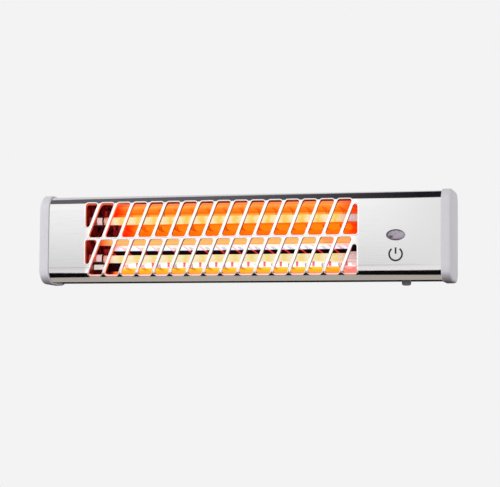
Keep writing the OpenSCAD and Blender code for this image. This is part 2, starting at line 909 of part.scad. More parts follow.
holder_r = 5;
holder_len = 12;
lamp_r = 3;
lamp_front_d = lens_back_d + lamp_r + 0.3;

module lamp_holder() {
    color(black_colour)
        difference() {
            rod_y(at_depth(lens_back_d + seat), at_depth(lens_back_d + holder_len), lens_x, mid_z, holder_r);
            rod_y(at_depth(lens_back_d - 1), at_depth(lens_back_d + holder_len - 2), lens_x, mid_z,
                lamp_r + hole_fit);
            for (s = [-1, 1])
                rod_y(at_depth(lens_back_d), at_depth(lens_back_d + holder_len + 1),
                    lens_x + s * 1.5, mid_z, 0.7 + hole_fit);
        }
}

module indicator_lamp() {
    color(quartz_colour) {
        rod_y(at_depth(lamp_front_d), at_depth(lens_back_d + holder_len - 2 - seat), lens_x, mid_z, lamp_r);
        translate([lens_x, at_depth(lamp_front_d), mid_z])
            intersection() {
                sphere(lamp_r);
                translate([0, -lamp_r, 0])
                    cube([2 * lamp_r, 2 * lamp_r, 2 * lamp_r], center = true);
            }
    }
}

module lamp_leads() {
    y0 = at_depth(lens_back_d + holder_len - 2);
    color(wire_colour)
        for (s = [-1, 1])
            lead([[lens_x + s * 1.5, y0, mid_z],
                  [lens_x + s * 1.5, y0 + 5, mid_z],
                  [lens_x + s * 4, y0 + 9, -10],
                  [lens_x + 4 + s * 5, switch_y - 8.6, -16],
                  [lens_x + 4 + s * 5, switch_y - 8.6, switch_top_z + seat]], 0.7);
}

// ---- pull switch ----

switch_top_z = floor_z + seat + housing_h;

// Housing with a round cavity for the rod's collar, and a threaded nozzle below.
module switch_housing() {
    color(black_colour)
        difference() {
            union() {
                translate([switch_x, switch_y, floor_z + seat])
                    linear_extrude(housing_h - housing_wall)
                        polygon(rounded(box_points(-housing_w / 2, housing_w / 2,
                            -housing_d / 2, housing_d / 2), [2, 2, 2, 2], 4));
                rod_z(floor_z - nozzle_len, floor_z + 1, switch_x, switch_y, nozzle_r);
            }
            rod_z(cavity_z, switch_top_z + 1, switch_x, switch_y, cavity_r);
            rod_z(floor_z - 10, cavity_z + 1, switch_x, switch_y, rod_d / 2 + rod_fit);
        }
}

// Contact carrier that closes the housing's top.
module switch_lid() {
    z0 = switch_top_z - housing_wall + seat;
    color(shell_colour)
        translate([switch_x, switch_y, z0])
            linear_extrude(housing_wall - seat)
                polygon(rounded(box_points(-housing_w / 2, housing_w / 2,
                    -housing_d / 2, housing_d / 2), [2, 2, 2, 2], 4));
}

shell_bottom_z = -shell_h / 2;
bush_z0 = shell_bottom_z - bush_h;

// Dome nut on the nozzle; the cord leaves through its mouth.
module cord_bush() {
    r = bush_d / 2;
    color(black_colour)
        translate([switch_x, switch_y, bush_z0])
            rotate_extrude()
                difference() {
                    polygon(concat(
                        [[rod_d / 2 + 0.5, bush_h - seat], [rod_d / 2 + 0.5, 0]],
                        [for (i = [0:5]) [r - 2.6 + 2.6 * sin(18 * i), 2.6 - 2.6 * cos(18 * i)]],
                        [[r, bush_h - seat]]));
                    translate([0, shell_bottom_z - nozzle_len + shell_t - bush_z0 - seat])
                        square([nozzle_r + hole_fit, bush_h]);
                }
}

rod_z0 = bush_z0 + 0.6;
eye_z = rod_z0 + 2.2;

module pull_rod() {
    color(ceramic_colour)
        difference() {
            union() {
                rod_z(rod_z0, collar_z + rod_collar_t + 3, switch_x, switch_y, rod_d / 2);
                rod_z(collar_z, collar_z + rod_collar_t, switch_x, switch_y, collar_r);
            }
            translate([switch_x, switch_y, eye_z])
                rotate([0, 90, 0])
                    cylinder(h = 2 * rod_d, r = 0.8, center = true);
        }
}

module return_spring() {
    color(zinc_colour)
        translate([switch_x, switch_y, cavity_z + seat + spring_wire_d / 2])
            rotate([0, -90, 0])
                mirror([0, 0, 1])
                    swept(spring_line, spring_wire_d / 2, outward(spring_line));
}

// ---- supply inlet ----

gland_x = cover_w / 2 - 28;
gland_z = -24;
gland_r = 8;
cable_r = 3.7;
gland_flange_r = 11;

module cord_gland() {
    color(black_colour)
        translate([gland_x, shell_back_y, gland_z])
            rotate([-90, 0, 0])
                rotate_extrude()
                    polygon([
                        [cable_r, -8], [gland_r, -8], [gland_r, seat], [gland_flange_r, seat],
                        [gland_flange_r, 3], [gland_flange_r - 1.5, 4.5], [cable_r + 2, 9],
                        [cable_r, 9]]);
}

module gland_nut() {
    color(black_colour)
        difference() {
            rod_y(shell_back_y - shell_t - seat - 4, shell_back_y - shell_t - seat, gland_x, gland_z,
                gland_flange_r);
            rod_y(shell_back_y - 10, shell_back_y, gland_x, gland_z, gland_r + hole_fit);
        }
}

clamp_x = gland_x;
clamp_z = 4;
clamp_w = 26;
clamp_screw_places = [for (s = [-1, 1]) [clamp_x + s * 9.5, clamp_z]];

// Saddle that grips the supply cord: a bar with an arch over the cord's way.
module cord_clamp() {
    color(wire_colour)
        difference() {
            translate([clamp_x, at_depth(shell_inner_d) - seat, clamp_z - 4])
                linear_extrude(8)
                    difference() {
                        translate([-clamp_w / 2, -8])
                            square([clamp_w, 8]);
                        circle(cable_r);
                    }
            for (p = clamp_screw_places)
                rod_y(at_depth(shell_inner_d) - 12, shell_back_y, p[0], p[1], 1.5 + hole_fit);
        }
}

module clamp_screws() {
    color(zinc_colour)
        for (p = clamp_screw_places)
            translate([p[0], at_depth(shell_inner_d) - seat - 8, p[1]])
                rotate([90, 0, 0])
                    pan_screw(2.8, 1.6, 1.5, 10);
}

// ---- tilting bracket ----

// Bracket bent from one strip: strap on the wall and an arm at each end.
module wall_bracket() {
    corner_r = strap_t + 1;
    reach = pivot_gap + arm_r;
    color(zinc_colour)
        difference() {
            intersection() {
                translate([0, 0, -strap_h])
                    linear_extrude(2 * strap_h)
                        difference() {
                            strip_outline(arm_span, corner_r, reach);
                            translate([0, -strap_t])
                                strip_outline(arm_span - 2 * strap_t, corner_r - strap_t, reach + 5);
                        }
                along_x(-arm_span, arm_span)
                    side_outline(-seat, strap_h, arm_r);
            }
            for (s = [-1, 1]) {
                rod_y(-10, 10, s * screw_span / 2, 0, screw_hole_d / 2);
                translate([s * screw_span / 4, 5, 0])
                    rotate([90, 0, 0])
                        linear_extrude(10)
                            stadium(34, 10);
            }
            rod_x(-arm_span, arm_span, pivot_y, 0, bolt_d / 2 + hole_fit);
        }
}

// Plan of a block with round rear corners, w wide, running forward from y = 0.
module strip_outline(w, r, reach) {
    translate([-w / 2, -reach - 1])
        square([w, reach + 1 - r]);
    translate([-w / 2 + r, -r - 1])
        square([w - 2 * r, r + 1]);
    for (s = [-1, 1])
        translate([s * (w / 2 - r), -r])
            circle(r);
}

// Side view of an arm: full height at the wall, tapering to a round end at the pivot.
module side_outline(y0, h, r) {
    polygon([[0, -h / 2], [0, h / 2], [-strap_t - 1, h / 2], [pivot_y, r], [pivot_y, -r],
             [-strap_t - 1, -h / 2]]);
    translate([pivot_y, 0])
        circle(r);
}

lug_rivet_places = [for (s = [-1, 1]) for (z = [-7, 7]) [s * (lug_in_x - lug_foot_w / 2 - 2), z]];

// Lug on the shell's back: a riveted foot and an ear round the pivot bolt.
module tilt_lug() {
    foot_y = shell_back_y + seat;
    ear_r = arm_r - 1;
    difference() {
        union() {
            box_between([lug_in_x - lug_foot_w, foot_y, -lug_h / 2],
                        [lug_out_x, foot_y + strap_t, lug_h / 2]);
            along_x(lug_in_x, lug_out_x) {
                polygon([[foot_y, -lug_h / 2], [pivot_y, -ear_r], [pivot_y, ear_r], [foot_y, lug_h / 2]]);
                translate([pivot_y, 0])
                    circle(ear_r);
            }
        }
        rod_x(0, arm_span, pivot_y, 0, bolt_d / 2 + pivot_fit);
        for (p = lug_rivet_places)
            rod_y(shell_back_y - 5, shell_back_y + 5, p[0], p[1], rivet_d / 2 + hole_fit);
    }
}

module right_tilt_lug() {
    color(zinc_colour)
        tilt_lug();
}

module left_tilt_lug() {
    color(zinc_colour)
        mirror([1, 0, 0])
            tilt_lug();
}

module lug_rivets() {
    grip = shell_t + strap_t + seat;
    color(zinc_colour)
        for (p = lug_rivet_places)
            translate([p[0], shell_back_y - shell_t, p[1]])
                rotate([-90, 0, 0]) {
                    translate([0, 0, -1.2 - seat])
                        cylinder(h = grip + 2.4 + 2 * seat, r = rivet_d / 2);
                    translate([0, 0, -1.2 - seat])
                        cylinder(h = 1.2, r = rivet_d * 0.8);
                    translate([0, 0, grip + seat])
                        cylinder(h = 1.2, r1 = rivet_d * 0.8, r2 = rivet_d * 0.5);
                }
}

nut_t = 5;
bolt_len = strap_t + washer_t + strap_t + nut_t + 4;

module both_sides() {
    children();
    mirror([1, 0, 0])
        children();
}

module pivot_bolts() {
    x1 = arm_span / 2 + seat;
    color(zinc_colour)
        both_sides() {
            difference() {
                rod_x(x1, x1 + 4, pivot_y, 0, bolt_d * 0.95);
                box_between([x1 + 2.5, pivot_y - bolt_d, -0.6], [x1 + 5, pivot_y + bolt_d, 0.6]);
            }
            rod_x(x1 - bolt_len, x1 + 0.5, pivot_y, 0, bolt_d / 2);
        }
}

module pivot_nuts() {
    x1 = lug_in_x - seat;
    color(zinc_colour)
        both_sides()
            difference() {
                translate([x1 - nut_t, pivot_y, 0])
                    rotate([0, 90, 0])
                        cylinder(h = nut_t, r = bolt_d * 0.96, $fn = 6);
                rod_x(0, arm_span, pivot_y, 0, bolt_d / 2 + seat);
            }
}

module pivot_washers() {
    color(black_colour)
        both_sides()
            difference() {
                rod_x(lug_out_x + seat, lug_out_x + seat + washer_t, pivot_y, 0, arm_r - 1.5);
                rod_x(0, arm_span, pivot_y, 0, bolt_d / 2 + hole_fit);
            }
}

front_cover();
back_shell();
left_end_cap();
right_end_cap();
left_bulkhead();
right_bulkhead();
reflector();
upper_quartz_tube();
lower_quartz_tube();
upper_heating_coil();
lower_heating_coil();
upper_left_ceramic();
upper_right_ceramic();
lower_left_ceramic();
lower_right_ceramic();
tube_terminals();
link_strap();
upper_lead();
lower_lead();
return_lead();
feed_lead();
lamp_leads();
thermal_cutout();
terminal_block();
earth_stud();
earth_lead();
indicator_lens();
indicator_lamp();
lamp_holder();
switch_housing();
switch_lid();
cord_bush();
pull_rod();
return_spring();
cord_gland();
gland_nut();
cord_clamp();
left_tilt_lug();
right_tilt_lug();
lug_rivets();
wall_bracket();
pivot_bolts();
pivot_nuts();
pivot_washers();
cover_screws();
cap_screws();
bulkhead_screws();
clamp_screws();
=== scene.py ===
"""Looks of a wall-mounted electric bar heater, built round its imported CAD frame.

Lengths are in metres. X runs along the heater, -Y is the front, +Z is up, and the wall is y = 0.
"""

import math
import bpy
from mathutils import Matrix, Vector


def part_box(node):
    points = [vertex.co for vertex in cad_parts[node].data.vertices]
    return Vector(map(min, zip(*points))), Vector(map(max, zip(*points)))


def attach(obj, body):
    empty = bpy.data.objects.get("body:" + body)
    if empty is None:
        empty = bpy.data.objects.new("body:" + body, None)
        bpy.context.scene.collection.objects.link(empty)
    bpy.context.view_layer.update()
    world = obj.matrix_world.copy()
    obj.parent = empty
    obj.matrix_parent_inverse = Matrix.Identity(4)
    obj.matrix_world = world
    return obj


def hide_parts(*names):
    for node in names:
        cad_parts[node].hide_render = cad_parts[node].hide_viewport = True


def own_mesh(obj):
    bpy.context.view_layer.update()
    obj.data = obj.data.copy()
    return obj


bl_info = {
    "name": "Bar Heater",
    "version": (1, 0, 0),
    "blender": (4, 5, 0),
    "location": "View3D > Sidebar > Bar Heater",
    "description": "Finishes and fine parts of a two-tube bar heater, with its studio",
    "category": "Add Mesh",
}

import bmesh
import bpy
from bpy.props import FloatProperty, FloatVectorProperty, IntProperty, PointerProperty
from mathutils import Matrix, Vector

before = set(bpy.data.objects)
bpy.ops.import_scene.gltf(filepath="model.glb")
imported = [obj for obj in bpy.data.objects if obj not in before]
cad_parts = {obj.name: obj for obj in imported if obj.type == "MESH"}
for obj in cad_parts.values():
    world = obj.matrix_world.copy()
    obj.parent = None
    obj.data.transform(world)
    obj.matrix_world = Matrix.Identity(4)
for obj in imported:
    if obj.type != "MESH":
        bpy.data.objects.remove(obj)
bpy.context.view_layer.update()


# ---- colours, nodes and meshes ----

def linear(code):
    """An sRGB hex colour, such as "D5D1D8", as linear red, green, blue and 1."""
    parts = [int(code[i : i + 2], 16) / 255 for i in (0, 2, 4)]
    return (*[c / 12.92 if c <= 0.04045 else ((c + 0.055) / 1.055) ** 2.4 for c in parts], 1.0)


def value_of(given):
    """A hex code as a linear colour, and anything else as it is."""
    return linear(given) if isinstance(given, str) else given


def darker(shade, share):
    """A colour at a share of its own brightness."""
    return (*[c * share for c in shade[:3]], 1.0)


def add_node(tree, kind, into=None, **settings):
    """Adds a node, sets its own settings, and fills or links the inputs that into names."""
    made = tree.nodes.new(kind)
    for key, value in settings.items():
        setattr(made, key, value)
    for key, value in (into or {}).items():
        if isinstance(value, bpy.types.NodeSocket):
            tree.links.new(value, made.inputs[key])
        else:
            made.inputs[key].default_value = value
    return made


def begin_finish(name, **values):
    """A new material with one Principled shader: (material, its tree, shader, object coordinates)."""
    made = bpy.data.materials.new(name)
    made.use_nodes = True
    tree = made.node_tree
    tree.nodes.clear()
    shader = add_node(tree, "ShaderNodeBsdfPrincipled",
                      {key.replace("_", " "): value_of(value) for key, value in values.items()})
    add_node(tree, "ShaderNodeOutputMaterial", {"Surface": shader.outputs[0]})
    return made, tree, shader, add_node(tree, "ShaderNodeTexCoord").outputs["Object"]


def feed(shader, **sources):
    """Links sockets to a shader's inputs; an underscore in an input's name stands for a space."""
    for key, source in sources.items():
        shader.id_data.links.new(source, shader.inputs[key.replace("_", " ")])


def axes(tree, place):
    """A place's X, Y and Z, as sockets to take by name."""
    return add_node(tree, "ShaderNodeSeparateXYZ", {"Vector": place}).outputs


def maths(tree, kind, *terms):
    """What a Math node of this kind makes of numbers and sockets."""
    return add_node(tree, "ShaderNodeMath", dict(enumerate(terms)), operation=kind).outputs[0]


def grain(tree, place, size, detail=2.0):
    """Noise whose features are size metres across, as one number or one for each axis."""
    across = size if isinstance(size, tuple) else (size,) * 3
    spread = add_node(tree, "ShaderNodeMapping",
                      {"Vector": place, "Scale": tuple(1 / s for s in across)})
    return add_node(tree, "ShaderNodeTexNoise",
                    {"Vector": spread.outputs[0], "Scale": 1.0, "Detail": detail}).outputs[0]


def between(tree, amount, low, high, start=0.0, end=1.0):
    """A number or a colour that runs from low to high as amount runs from start to end."""
    if isinstance(low, (tuple, str)):
        return mixed(tree, between(tree, amount, 0.0, 1.0, start, end), low, high)
    return add_node(tree, "ShaderNodeMapRange",
                    {"Value": amount, "From Min": start, "From Max": end,
                     "To Min": low, "To Max": high}).outputs[0]


def colour_bands(tree, amount, bands):
    """Colours that follow one another along amount, given as (place, colour)."""
    ramp = add_node(tree, "ShaderNodeValToRGB", {"Fac": amount})
    stops = ramp.color_ramp.elements
    bands = [(spot, value_of(shade)) for spot, shade in bands]
    stops[0].position, stops[0].color = bands[0]
    stops[1].position, stops[1].color = bands[-1]
    for spot, shade in bands[1:-1]:
        stops.new(spot).color = shade
    return ramp.outputs[0]


def stripes(tree, along, pitch, middle, width, soft=0.3):
    """1 on stripes width metres wide, soft at their edges, that come back every pitch metres."""
    turn = maths(tree, "MULTIPLY_ADD", along, 1 / pitch, 0.5 - middle / pitch)
    off = maths(tree, "ABSOLUTE", maths(tree, "SUBTRACT", maths(tree, "FRACT", turn), 0.5))
    return between(tree, off, 1.0, 0.0, (0.5 - soft / 2) * width / pitch,
                   (0.5 + soft / 2) * width / pitch)


def window(tree, amount, low, high, soft):
    """1 where amount lies between low and high, and 0 beyond a soft edge outside them."""
    return times(tree, between(tree, amount, 0.0, 1.0, low - soft, low),
                 between(tree, amount, 1.0, 0.0, high, high + soft))


def mixed(tree, share, low, high, blend="MIX"):
    """Colour low where share is 0, and where it is 1 colour high or its blend with low."""
    return add_node(tree, "ShaderNodeMix", {0: share, 6: value_of(low), 7: value_of(high)},
                    data_type="RGBA", blend_type=blend).outputs[2]


def times(tree, *shares):
    """The product of several numbers."""
    product = shares[0]
    for share in shares[1:]:
        product = maths(tree, "MULTIPLY", product, share)
    return product


def relief(tree, shader, height, depth):
    """Raises the surface by up to depth metres where height is 1."""
    bump = add_node(tree, "ShaderNodeBump", {"Height": height, "Distance": depth, "Strength": 1.0})
    feed(shader, Normal=bump.outputs[0])


def dress(nodes, finish):
    """Gives CAD nodes a finish on their own material slots."""
    for name in nodes:
        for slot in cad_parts[name].material_slots:
            slot.material = finish


def new_piece(name, form, finish=None, smooth_angle=None):
    """Links a bmesh or a mesh to the scene as an object at the origin."""
    if isinstance(form, bmesh.types.BMesh):
        mesh = bpy.data.meshes.new(name)
        form.to_mesh(mesh)
        form.free()
    else:
        mesh = form
        mesh.name = name
    piece = bpy.data.objects.new(name, mesh)
    bpy.context.scene.collection.objects.link(piece)
    if finish is not None:
        mesh.materials.clear()
        mesh.materials.append(finish)
    if smooth_angle is not None:
        mesh.shade_smooth()
        mesh.set_sharp_from_angle(angle=math.radians(smooth_angle))
    return piece


def settle(piece, body, slot, *nodes):
    """Rides a piece on its body and hides the CAD nodes it stands for; slot is not used."""
    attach(piece, body)
    if nodes:
        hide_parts(*nodes)


def merged(node):
    """A copy of a CAD node's mesh with its loose triangles joined."""
    form = bmesh.new()
    form.from_mesh(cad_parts[node].data)
    bmesh.ops.remove_doubles(form, verts=form.verts, dist=1e-6)
    return form


def bodies_of(node):
    """The separate solids of a CAD node, as (lowest corner, highest corner)."""
    form = merged(node)
    left, found = set(form.verts), []
    while left:
        todo, group = [left.pop()], []
        while todo:
            vert = todo.pop()
            group.append(vert.co)
            for edge in vert.link_edges:
                other = edge.other_vert(vert)
                if other in left:
                    left.remove(other)
                    todo.append(other)
        low = Vector([min(c[i] for c in group) for i in range(3)])
        high = Vector([max(c[i] for c in group) for i in range(3)])
        found.append((low, high))
    form.free()
    return sorted(found, key=lambda box: tuple(box[0]))


def lofted(form, rings):
    """Joins rings of points into a closed skin, with a face over each end."""
    rows = [[form.verts.new(p) for p in ring] for ring in rings]
    count = len(rows[0])
    for a, b in zip(rows, rows[1:]):
        for i in range(count):
            j = (i + 1) % count
            form.faces.new((a[i], a[j], b[j], b[i]))
    form.faces.new(reversed(rows[0]))
    form.faces.new(rows[-1])
    bmesh.ops.recalc_face_normals(form, faces=form.faces)
    return form


# ---- sizes and colours that a user would change ----

def length(name, description, default):
    return FloatProperty(name=name, description=description, default=default,
                         min=0.0, unit="LENGTH", precision=4)


def colour(name, description, code):
    return FloatVectorProperty(name=name, description=description, default=linear(code),
                               size=4, min=0.0, max=1.0, subtype="COLOR")


class HeaterSizes(bpy.types.PropertyGroup):
    """Sizes of the fine parts. Those that a CAD part also has are equal to its own."""

    rim_r: length("Rim radius", "Radius of the rolled rim round a slot", 0.0009)
    rim_sunk: length("Rim sunk", "How far the rim's middle lies below the cover's face", 0.0004)
    collar_depth: length("Collar depth", "How far a slot's edge is turned in", 0.0042)
    bend_r: length("Bend radius", "Outer radius of the cover's bends", 0.019)
    cap_rear_r: length("Cap rear radius", "Radius of a cap's rear corners, from the side", 0.014)
    cap_edge_r: length("Cap edge radius", "Radius that rounds a cap's outer edge", 0.004)
    cap_lap: length("Cap lap", "How far the sheets reach into a cap", 0.0065)
    shell_r: length("Shell radius", "Outer radius of the shell's rear bends", 0.006)
    coil_turns: IntProperty(name="Coil turns", description="Turns in a heating coil",
                            default=150, min=10)
    coil_r: length("Coil radius", "Radius of a heating coil's centre line", 0.00295)
    wire_r: length("Wire radius", "Radius of the heating wire", 0.0004)
    trough_depth: length("Trough depth", "Depth of the reflector's troughs behind the face", 0.041)
    trough_rise: length("Trough rise", "How far a trough's edges stand forward", 0.0133)
    wing_depth: length("Wing depth", "Depth of the reflector's outer edges", 0.017)
    reflector_t: length("Reflector sheet", "Thickness of the reflector", 0.0006)
    spring_turns: IntProperty(name="Spring turns", description="Turns in the return spring",
                              default=8, min=4)
    spring_r: length("Spring radius", "Radius of the spring's centre line", 0.0036)
    spring_wire_r: length("Spring wire", "Radius of the spring's wire", 0.00045)
    mark_x: length("Mark place", "Distance of the printed mark from the middle", 0.2025)
    mark_drop: length("Mark drop", "Distance of the printed mark below the middle", 0.0246)
    mark_r: length("Mark radius", "Outer radius of the printed mark", 0.0093)
    mark_line: length("Mark line", "Width of the printed line", 0.0022)


class HeaterColours(bpy.types.PropertyGroup):
    """Colours of the heater's finishes."""

    steel: colour("Stainless", "Brushed stainless steel of the cover", "EEEDED")
    cap: colour("End caps", "Moulded plastic of the end caps", "D5D1D8")
    shell: colour("Shell", "Paint on the back shell", "3A3A3D")


def sizes():
    return bpy.context.scene.bar_heater_sizes


def colours():
    return bpy.context.scene.bar_heater_colours


# ---- finishes ----

def brushed_stainless():
    """Stainless sheet, brushed along its length: bright, with a faint lengthwise grain and painted
    light on the grille's bars.
    """
    made, tree, shader, place = begin_finish("brushed_stainless", Metallic=1.0,
                                             Emission_Color="FFFBF8")
    # Brush lines run about 40 mm along the sheet and are drawn 0.5 mm apart, coarser than real.
    lines = grain(tree, place, (0.04, 0.0005, 0.0005), 3.0)
    clouds = grain(tree, place, 0.05)
    shade = colours().steel
    # Painted light from the tubes whitens the grille's bars, most of all where they run down into the
    # bend.
    spot = axes(tree, place)
    over = window(tree, spot["X"], -0.2040, 0.1500, 0.006)
    glare = between(tree, spot["Z"], 0.62, 0.17, -0.0435, -0.0385)
    feed(shader, Base_Color=between(tree, lines, darker(shade, 0.93), shade),
         Roughness=maths(tree, "ADD", between(tree, lines, 0.07, 0.12),
                         between(tree, clouds, -0.01, 0.02)),
         Emission_Strength=times(tree, over, glare,
                                 window(tree, spot["Z"], -0.0450, 0.0455, 0.001)))
    relief(tree, shader, lines, 0.000012)
    return made


def pressed_rim():
    """Bare stainless rolled by the press: brighter than the brushed sheet, with fine die lines and a
    faint painted glow.
    """
    made, tree, shader, place = begin_finish("pressed_rim", Metallic=1.0)
    lines = grain(tree, place, (0.0012, 0.0012, 0.006), 3.0)
    # In the bend the rims carry a painted reflection of what lies below: dark where they part, then
    # the beige floor, which also glows.
    height = axes(tree, place)["Z"]
    face = between(tree, height, 0.0, 1.0, -0.0482, -0.0470)
    foot = between(tree, height, 1.0, 0.0, -0.0506, -0.0500)
    steel = between(tree, lines, "F4F4F3", "FFFFFF")
    feed(shader, Base_Color=mixed(tree, face, mixed(tree, foot, "2A2026", "A8A298"), steel),
         Roughness=between(tree, lines, 0.2, 0.3),
         Emission_Color=mixed(tree, face, "A8A096", "FFF4F2"),
         Emission_Strength=between(tree, face, times(tree, foot, 0.7), 0.2))
    return made


def painted_glow_collar():
    """Turned-in steel of the slots' edges: painted shade lit dark red, pale painted light at its
    foot, and a painted glow at its left end.
    """
    made, tree, shader, place = begin_finish("painted_glow_collar", Metallic=0.6, Roughness=0.42)
    # Painted shade: the dark red stands for the turned-in wall in shade, lit red by the tubes.
    painted_red_shade = between(tree, grain(tree, place, 0.006, 3.0), "5A1418", "8A3230", 0.35, 0.65)
    spot = axes(tree, place)
    # Painted light: the left end and the foot are lighter and glow in their own colour.
    lit = between(tree, spot["X"], 1.0, 0.0, -0.165, -0.13)
    foot = between(tree, spot["Z"], 1.0, 0.0, -0.0478, -0.0462)
    shade = mixed(tree, foot, mixed(tree, lit, painted_red_shade, "E0704A"), "F0CCC8")
    feed(shader, Base_Color=shade, Emission_Color=shade,
         Emission_Strength=between(tree, foot, times(tree, lit, 0.35), 0.55))
    return made


def zinc_plate():
    """Zinc-plated steel: satin grey with a faint blue passivated cast and soft clouds."""
    made, tree, shader, place = begin_finish("zinc_plate", Metallic=1.0)
    clouds = grain(tree, place, 0.008, 4.0)
    feed(shader, Base_Color=between(tree, clouds, "9FA3A8", "C9CBCB", 0.3, 0.7),
         Roughness=between(tree, clouds, 0.42, 0.28, 0.3, 0.7))
    relief(tree, shader, grain(tree, place, 0.0006), 0.00002)
    return made


def heated_zinc():
    """Plated steel that a tube has heated: dulled and browned, with a painted dull red glow on it."""
    made, tree, shader, place = begin_finish("heated_zinc", Metallic=1.0, Emission_Color="B01C1C")
    clouds = grain(tree, place, 0.012, 4.0)
    # The dull red emission is painted light.
    feed(shader, Base_Color=between(tree, clouds, "3A1014", "7A2422", 0.3, 0.7),
         Roughness=between(tree, clouds, 0.5, 0.38),
         Emission_Strength=between(tree, clouds, 0.06, 0.30, 0.4, 0.65))
    return made


def powder_paint():
    """Powder-painted steel: dark grey, half matte, with a fine orange-peel surface."""
    made, tree, shader, place = begin_finish("powder_paint", Roughness=0.46)
    shade = colours().shell
    feed(shader, Base_Color=between(tree, grain(tree, place, 0.03), darker(shade, 0.9), shade))
    relief(tree, shader, grain(tree, place, 0.0011), 0.00006)
    return made


def moulded_abs():
    """Light grey moulded ABS: a fine matte spark grain over an even colour, with painted shade on the
    undersides.
    """
    made, tree, shader, place = begin_finish("moulded_abs", IOR=1.54)
    shade = colours().cap
    sparks = grain(tree, place, 0.00055, 3.0)
    even = between(tree, sparks, darker(shade, 0.965), shade)
    # Painted shade darkens the undersides.
    facing = add_node(tree, "ShaderNodeTexCoord").outputs["Normal"]
    painted_underside_shade = between(tree, axes(tree, facing)["Z"], 1.0, 0.0, -0.99, -0.45)
    feed(shader, Base_Color=mixed(tree, painted_underside_shade, even, "5A4E58"),
         Roughness=between(tree, sparks, 0.42, 0.54))
    relief(tree, shader, sparks, 0.00003)
    return made


